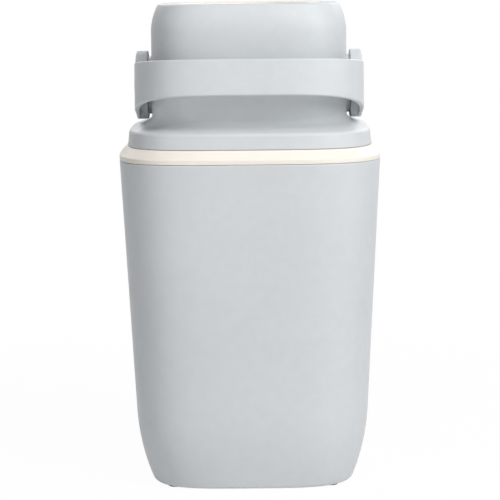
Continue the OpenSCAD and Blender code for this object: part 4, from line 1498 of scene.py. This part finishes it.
@dataclass
class Handle:
    """The handle: a wide band round the front, with a round ear at each end."""

    datum: Datum
    out_x: float = 120.2
    out_y: float = 135.553
    band_h: float = 36.6
    root_h: float = 40.4
    band_t: float = 5.0
    tilt: float = 5.7
    ear_r: float = 36.0
    ear_t: float = 12.2
    ear_bulge: float = 2.9
    edge_r: float = 1.5
    inner_edge_r: float = 0.9
    cap_r: float = 12.0
    cap_t: float = 2.8
    socket_r: float = 13.3
    socket_depth: float = 4.8
    screw_out: float = 7.4
    screw_length: float = 15.0
    pitch: float = 2.4

    @property
    def top_x(self) -> float:
        """The middle of an ear's outer face."""
        return self.datum.ear_x + self.ear_t + self.ear_bulge

    def face(self, r: float) -> float:
        """How far out an ear's face is at a radius."""
        dome = (self.ear_r ** 2 + self.ear_bulge ** 2) / (2 * self.ear_bulge)
        return self.top_x - dome + math.sqrt(dome ** 2 - r ** 2)

    @cached_property
    def plan(self) -> list[Vector]:
        """The band's outer side seen from above, from the right ear's axis to the front.

        Returns:
            Points with even steps between them.
        """
        rough, samples = [], 2000
        for k in range(samples + 1):
            a = math.pi / 2 * k / samples
            c, s = math.cos(a), math.sin(a)
            reach = ((c / self.out_x) ** SQUARENESS + (s / self.out_y) ** SQUARENESS) ** (-1 / SQUARENESS)
            rough.append(Vector((reach * c, -reach * s)))
        lengths = distances(rough)
        count = round(lengths[-1] / self.pitch)
        even, k = [], 0
        for i in range(count + 1):
            want = lengths[-1] * i / count
            while k < len(lengths) - 2 and lengths[k + 1] < want:
                k += 1
            share = (want - lengths[k]) / (lengths[k + 1] - lengths[k])
            even.append(rough[k].lerp(rough[k + 1], share))
        return even

    @cached_property
    def steps(self) -> list[float]:
        """How far along the band each point of the plan is. The last is half the band's length."""
        return distances(self.plan)

    def heights(self, forward: float) -> tuple[float, float]:
        """The band's upper and lower edges at a distance in front of the axis.

        Args:
            forward: The distance.

        Returns:
            The upper and the lower height, from the band's middle.
        """
        half, root = self.band_h / 2, self.root_h / 2
        start = math.sqrt((self.ear_r - 1) ** 2 - root ** 2)
        high = root + (half - root) * (forward - start) / (self.out_y + 5 - start)
        turn = math.atan2(-half, self.out_y) - math.acos(self.ear_r / math.hypot(half, self.out_y))
        touch = (self.ear_r * math.cos(turn), self.ear_r * math.sin(turn))
        low = touch[1] + (-half - touch[1]) * (forward - touch[0]) / (self.out_y - touch[0])
        round_part = math.sqrt(max(0.0, self.ear_r ** 2 - forward ** 2))
        if forward < touch[0]:
            low = -round_part
        blend_start, blend_end, soft = 6, self.ear_r + 4, 2.0
        if forward <= blend_start:
            high = round_part
        elif forward < blend_end:
            high = 0.5 * (high + round_part + math.sqrt((high - round_part) ** 2 + soft ** 2))
        return high, low

    def plate(self) -> bpy.types.Mesh:
        """The band and both ears' faces, as one bent plate with rounded edges.

        Each point of the plate's outline has a partner on its middle line: straight across
        the band, and at the axis for the back half of an ear. The faces run between them.

        Returns:
            The mesh, before the ears get their thickness.
        """
        steps, length, span = self.steps, self.steps[-1], len(self.steps)
        high, low = zip(*(self.heights(-p.y) for p in self.plan))
        half_turn = 46
        turns = [math.pi * k / half_turn for k in range(1, half_turn)]
        back = [(-self.ear_r * math.sin(a), self.ear_r * math.cos(a)) for a in turns]
        right = [*((steps[i], high[i]) for i in range(span - 1, -1, -1)), *back,
                 *((steps[i], low[i]) for i in range(span))]
        outline = right + [(2 * length - s, z) for s, z in right[::-1][1:-1]]
        middles = []
        for s, z in outline:
            inner = min(s, 2 * length - s)
            if inner <= 0:
                middles.append((0.0 if s < length else 2 * length, 0.0))
            else:
                i = min(range(span), key=lambda k: abs(steps[k] - inner))
                middles.append((s, (high[i] + low[i]) / 2))
        count = len(outline)
        normals = []
        for i in range(count):
            before, after = Vector(outline[i - 1]), Vector(outline[(i + 1) % count])
            along = (after - before).normalized()
            normals.append(Vector((-along.y, along.x)))
        centre = Vector((length, 0))
        if (Vector(outline[0]) - centre).dot(normals[0]) < 0:
            normals = [-n for n in normals]
        rings: list[list[tuple[float, float, float]]] = []
        for t in [1 - k / 9 for k in range(9)]:
            rings.append(self.ring(outline, normals, middles, self.edge_r, t, 0.0, True))
        for k in range(7):
            a = math.radians(90 * k / 6)
            rings.append(self.ring(outline, normals, middles, self.edge_r * (1 - math.sin(a)), 0,
                                   self.edge_r * (1 - math.cos(a)), True))
        for k in range(5):
            a = math.radians(90 * k / 4)
            rings.append(self.ring(outline, normals, middles, self.inner_edge_r * (1 - math.cos(a)), 0,
                                   self.inner_edge_r * (1 - math.sin(a)), False))
        for t in [k / 9 for k in range(1, 10)]:
            rings.append(self.ring(outline, normals, middles, self.inner_edge_r, t, 0.0, False))
        return ringed([[self.bend(p) for p in ring] for ring in rings])

    def ring(self, outline: Sequence, normals: Sequence[Vector], middles: Sequence, inset: float,
             share: float, depth: float, outside: bool) -> list[tuple[float, float, float]]:
        """One ring of the flat plate.

        Args:
            outline: The plate's outline, as distance along the band and height.
            normals: The outline's outward directions.
            middles: Each point's partner on the middle line.
            inset: How far inside the outline the ring starts.
            share: How much of the way to the middle line it lies.
            depth: How far under the outer face, or over the inner one, it lies.
            outside: True for the outer face.

        Returns:
            Distance along the band, height and depth of each point.
        """
        length, fade_start, fade_run = self.steps[-1], 14, 60
        ring = []
        for point, normal, middle in zip(outline, normals, middles):
            along = min(point[0], 2 * length - point[0])
            # At the ears the inner edge stays square, because the ear's thick part runs on there.
            mine = inset if outside or along > self.ear_r else 0.0
            start = Vector(point) - normal * mine
            place = start.lerp(Vector(middle), share)
            near = min(place.x, 2 * length - place.x)
            r = min(math.hypot(near, place.y), self.ear_r)
            fade = max(0.0, min(1.0, (near - fade_start) / fade_run))
            dome = (self.face(r) - self.out_x) * (1 - fade * fade * (3 - 2 * fade))
            if outside:
                ring.append((place.x, place.y, depth - dome))
            else:
                ring.append((place.x, place.y, self.band_t - (depth if along > self.ear_r else 0)))
        return ring

    def bend(self, point: Sequence[float]) -> tuple[float, float, float]:
        """Bends a point of the flat plate round the plan.

        Args:
            point: Its distance along the band, height and depth.

        Returns:
            Its place, before the handle is tilted.
        """
        plan, steps, length, sign = self.plan, self.steps, self.steps[-1], 1
        along = point[0]
        if along > length:
            along, sign = 2 * length - along, -1
        if along <= 0:
            return sign * (self.out_x - point[2]), -along, point[1]
        i = max(0, min(len(steps) - 2, int(along / (length / (len(steps) - 1)))))
        share = (along - steps[i]) / (steps[i + 1] - steps[i])
        here = plan[i].lerp(plan[i + 1], share)
        # The outline is a level line of |x/a|^n + |y/b|^n, so its slope gives the direction out.
        n = SQUARENESS - 1
        out = Vector(((abs(here.x) / self.out_x) ** n / self.out_x,
                      -(abs(here.y) / self.out_y) ** n / self.out_y)).normalized()
        place = here - out * point[2]
        return sign * place.x, place.y, point[1]

    def moulding(self) -> bpy.types.Mesh:
        """The whole handle, with the hubs' sockets and the caps' seats.

        Returns:
            The mesh.
        """
        d = self.datum
        root, ear_r = self.out_x - self.band_t, self.ear_r - 0.04
        ear = rounded([(0, d.ear_x), (ear_r, d.ear_x, 1.0), (ear_r, root + 0.8), (0, root + 0.8)],
                      closed=False)
        groove = rounded([(16, d.ear_x - 1), (d.hub_r - 4, d.ear_x - 1), (d.hub_r - 4, root + 1.5, 0.5),
                          (16, root + 1.5, 0.5)])
        floor, rim = self.top_x - self.cap_t, self.face(self.cap_r)
        seat = rounded([(0, floor), (self.cap_r + 0.2, floor), (self.cap_r + 0.2, rim - 0.35),
                        (self.cap_r + 1.2, rim + 0.65), (0, self.top_x + 2)], closed=False)
        handle, tools = self.plate(), []
        for side in Side:
            place = Matrix.Rotation(math.radians(90 * side.value), 4, "Y")
            handle = worked(handle, Cut.ON, turned(ear, BODY, steps=144, closed=False, place=place))
            socket = ringed([hexagon(self.socket_r, z) for z in (d.ear_x - 1, d.ear_x + self.socket_depth)])
            socket.transform(place @ Matrix.Rotation(math.radians(side.value * self.tilt), 4, "Z"))
            tools += [turned(groove, BODY, place=place),
                      turned(seat, BODY, steps=96, closed=False, place=place), socket]
        handle = worked(handle, Cut.AWAY, *tools)
        tilted = Matrix.Rotation(math.radians(-self.tilt), 4, "X")
        handle.transform(Matrix.Translation((0, 0, d.pivot_z)) @ tilted)
        return handle

    def cap(self, side: Side) -> bpy.types.Mesh:
        """The cap over an ear's screw, flush with the ear's face.

        Args:
            side: The cap's side.

        Returns:
            The mesh.
        """
        face = [(self.cap_r * k / 12, self.face(self.cap_r * k / 12)) for k in range(11)]
        profile = rounded([*face, (self.cap_r, self.face(self.cap_r), 0.35),
                           (self.cap_r, self.top_x - self.cap_t, 0.2), (0, self.top_x - self.cap_t)],
                          closed=False)
        return turned(profile, CAP, steps=96, closed=False, place=self.datum.on_axis(side))

    def build(self) -> None:
        """Builds and dresses the sub-assembly."""
        d = self.datum
        piece(self.moulding(), "handle_moulding", "drum", "shell_grey", BODY, "handle")
        spots = []
        for side in Side:
            name = side.name.lower()
            piece(self.cap(side), f"{name}_ear_cap", "drum", "cap_grey", CAP, f"handle_cap_{name}")
            spots.append(((side.value * (d.ear_x + self.screw_out), 0, d.pivot_z), (-side.value, 0, 0)))
        piece(copied(PanScrew(self.screw_length).mesh(), spots, STEEL, math.tau), "ear_screws", "drum",
              "steel", STEEL, "handle_screws")


@dataclass
class Piston:
    """The weighted piston that drops the nappy when the well is upside down."""

    datum: Datum
    r: float = 58.8
    height: float = 24.0
    wall: float = 2.6
    weight_r: float = 48.0
    low: float = -49.249

    @property
    def place(self) -> Matrix:
        """The frame that stands on the middle of the piston's underside."""
        return Matrix.Translation((0, 0, self.datum.pivot_z + self.low))

    def cup(self) -> bpy.types.Mesh:
        """The cup, with the wiper's groove.

        Returns:
            The mesh.
        """
        rim = self.height - self.wall
        return turned(rounded([
            (0, 0), (self.r, 0, 1.2), (self.r, 9, 0.2), (self.r - 2.4, 9), (self.r - 2.4, 15),
            (self.r, 15, 0.2), (self.r, rim, 0.1), (self.weight_r + 0.3, rim, 0.2),
            (self.weight_r + 0.3, self.wall, 0.6), (0, self.wall)], closed=False),
            DRUM, steps=160, closed=False, place=self.place)

    def cover(self) -> bpy.types.Mesh:
        """The lid, with a shallow dish and the hub that holds the weight down.

        Returns:
            The mesh.
        """
        low, dish = self.height - self.wall, self.weight_r - 2
        lid = turned(rounded([
            (0, low), (self.r, low, 0.1), (self.r, self.height, 1.0), (dish, self.height, 0.4),
            (dish - 0.6, self.height - 0.8, 0.4), (0, self.height - 0.8)], closed=False),
            DRUM, steps=160, closed=False, place=self.place)
        hub = turned(rounded([(9.5, 7.6, 0.3), (12, 7.6, 0.3), (12, low + 0.2), (9.5, low + 0.2)]),
                     DRUM, steps=64, place=self.place)
        return joined(lid, hub)

    def build(self) -> None:
        """Builds and dresses the sub-assembly."""
        piece(self.cup(), "piston_body", "piston", "drum_grey", DRUM, "piston_cup")
        piece(self.cover(), "piston_lid", "piston", "drum_grey", DRUM, "piston_cover")
        dress("piston_weight", STEEL)
        dress("piston_wiper", RUBBER)


# ---- The studio --------------------------------------------------------------------


@dataclass
class Lamp:
    """A soft square lamp that faces the bin.

    Attributes:
        name: The lamp's name.
        bearing: How far it stands round from the front to the right, in degrees.
        height: How far it stands above level, in degrees.
        power: Its power in watts.
        size: Its side in metres.
        away: Its distance from the bin in metres.
    """

    name: str
    bearing: float
    height: float
    power: float
    size: float = 1.9
    away: float = 4.2

    def hang(self) -> None:
        """Adds the lamp to the scene."""
        data = bpy.data.lights.new(self.name, "AREA")
        data.shape, data.size, data.energy = "SQUARE", self.size, self.power
        lamp = bpy.data.objects.new(self.name, data)
        round_z = Matrix.Rotation(math.radians(self.bearing), 4, "Z")
        over = Matrix.Rotation(math.radians(90 - self.height), 4, "X")
        middle = Matrix.Translation((0, 0, 0.27))
        lamp.matrix_world = middle @ round_z @ over @ Matrix.Translation((0, 0, self.away))
        bpy.context.scene.collection.objects.link(lamp)


@dataclass
class Studio:
    """The camera, the white floor, the world and the lamps. Metres."""

    camera_place: tuple[float, float, float] = (-0.0009, -2.300, 0.5336)
    camera_aim: tuple[float, float, float] = (-0.0009, 0.0, 0.2376)
    camera_roll: float = -0.6
    lens: float = 155.7
    floor_half: float = 40.0
    lamps: list[Lamp] = field(default_factory=lambda: [
        Lamp("key", 30, 48, 81.0),
        Lamp("right_side", 50, 26, 70.0),
        Lamp("top", -10, 68, 32.0),
        Lamp("left_fill", -35, 8, 27.0),
        Lamp("back_right", 150, 30, 46.0),
        Lamp("back_left", -160, 30, 46.0),
    ])

    @staticmethod
    def seen_plainly(graph: Graph) -> Wire:
        """1 for rays from the camera or off metal and glass, and 0 for the light itself."""
        path = graph.add("ShaderNodeLightPath")
        seen = path.out("Is Camera Ray") + path.out("Is Glossy Ray") + path.out("Is Transmission Ray")
        return seen.maths("MINIMUM", 1.0)

    def set_world(self) -> None:
        """Makes the surroundings white to look at. They give no light of their own."""
        world = bpy.data.worlds.new("studio")
        bpy.context.scene.world = world
        world.use_nodes = True
        graph = Graph(world.node_tree)
        sky = graph.add("ShaderNodeBackground", None,
                        {"Color": (1, 1, 1, 1), "Strength": self.seen_plainly(graph)})
        graph.add("ShaderNodeOutputWorld", None, {"Surface": sky})

    def lay_floor(self) -> None:
        """Lays the floor, which looks white and still takes the bin's shadow."""
        mesh = bpy.data.meshes.new("floor")
        half = self.floor_half
        mesh.from_pydata([(-half, -half, 0), (half, -half, 0), (half, half, 0), (-half, half, 0)],
                         [], [(0, 1, 2, 3)])
        material = bpy.data.materials.new("floor_paint")
        material.use_nodes = True
        graph = Graph(material.node_tree)
        place = graph.add("ShaderNodeTexCoord", output="Object")
        away = graph.add("ShaderNodeVectorMath", {"operation": "LENGTH"}, {0: place}, 1)
        speckle = graph.add("ShaderNodeTexNoise", None, {"Vector": place, "Scale": 3.0})
        paint = graph.add("ShaderNodeBsdfDiffuse", None, {
            "Color": graph.mix(speckle, (0.80, 0.80, 0.80, 1), (0.84, 0.84, 0.84, 1))})
        glow = graph.add("ShaderNodeEmission", None, {"Color": (1, 1, 1, 1), "Strength": 1.0})
        share = 0.97 + 0.03 * away.step(0.4, 1.5)
        shown = graph.add("ShaderNodeMixShader", None, {0: share, 1: paint, 2: glow})
        both = graph.add("ShaderNodeMixShader", None, {0: self.seen_plainly(graph), 1: paint, 2: shown})
        graph.add("ShaderNodeOutputMaterial", None, {"Surface": both})
        mesh.materials.append(material)
        floor = bpy.data.objects.new("floor", mesh)
        bpy.context.scene.collection.objects.link(floor)

    def set_camera(self) -> None:
        """Sets the camera at the photograph's viewing angle."""
        data = bpy.data.cameras.new("camera")
        data.lens, data.sensor_width = self.lens, 36
        data.clip_start, data.clip_end = 0.05, 50
        camera = bpy.data.objects.new("camera", data)
        place, aim = Vector(self.camera_place), Vector(self.camera_aim)
        turn = (aim - place).to_track_quat("-Z", "Y").to_matrix().to_4x4()
        camera.matrix_world = (Matrix.Translation(place) @ turn
                               @ Matrix.Rotation(math.radians(self.camera_roll), 4, "Z"))
        bpy.context.scene.collection.objects.link(camera)
        bpy.context.scene.camera = camera

    def build(self) -> None:
        """Sets up the studio."""
        bpy.context.scene.view_settings.view_transform = "Standard"
        self.set_world()
        self.lay_floor()
        self.set_camera()
        for lamp in self.lamps:
            lamp.hang()


def main() -> None:
    """Builds the bin's sub-assemblies in order, then the studio, and logs each piece's face count."""
    logging.basicConfig(level=logging.INFO, format="%(name)s: %(message)s")
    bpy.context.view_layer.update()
    datum = Datum()
    for assembly in (Bucket(datum), BagRing(datum), Head(datum), Drum(datum), Handle(datum), Piston(datum)):
        assembly.build()
    Studio().build()


if __name__ == "__main__":
    main()
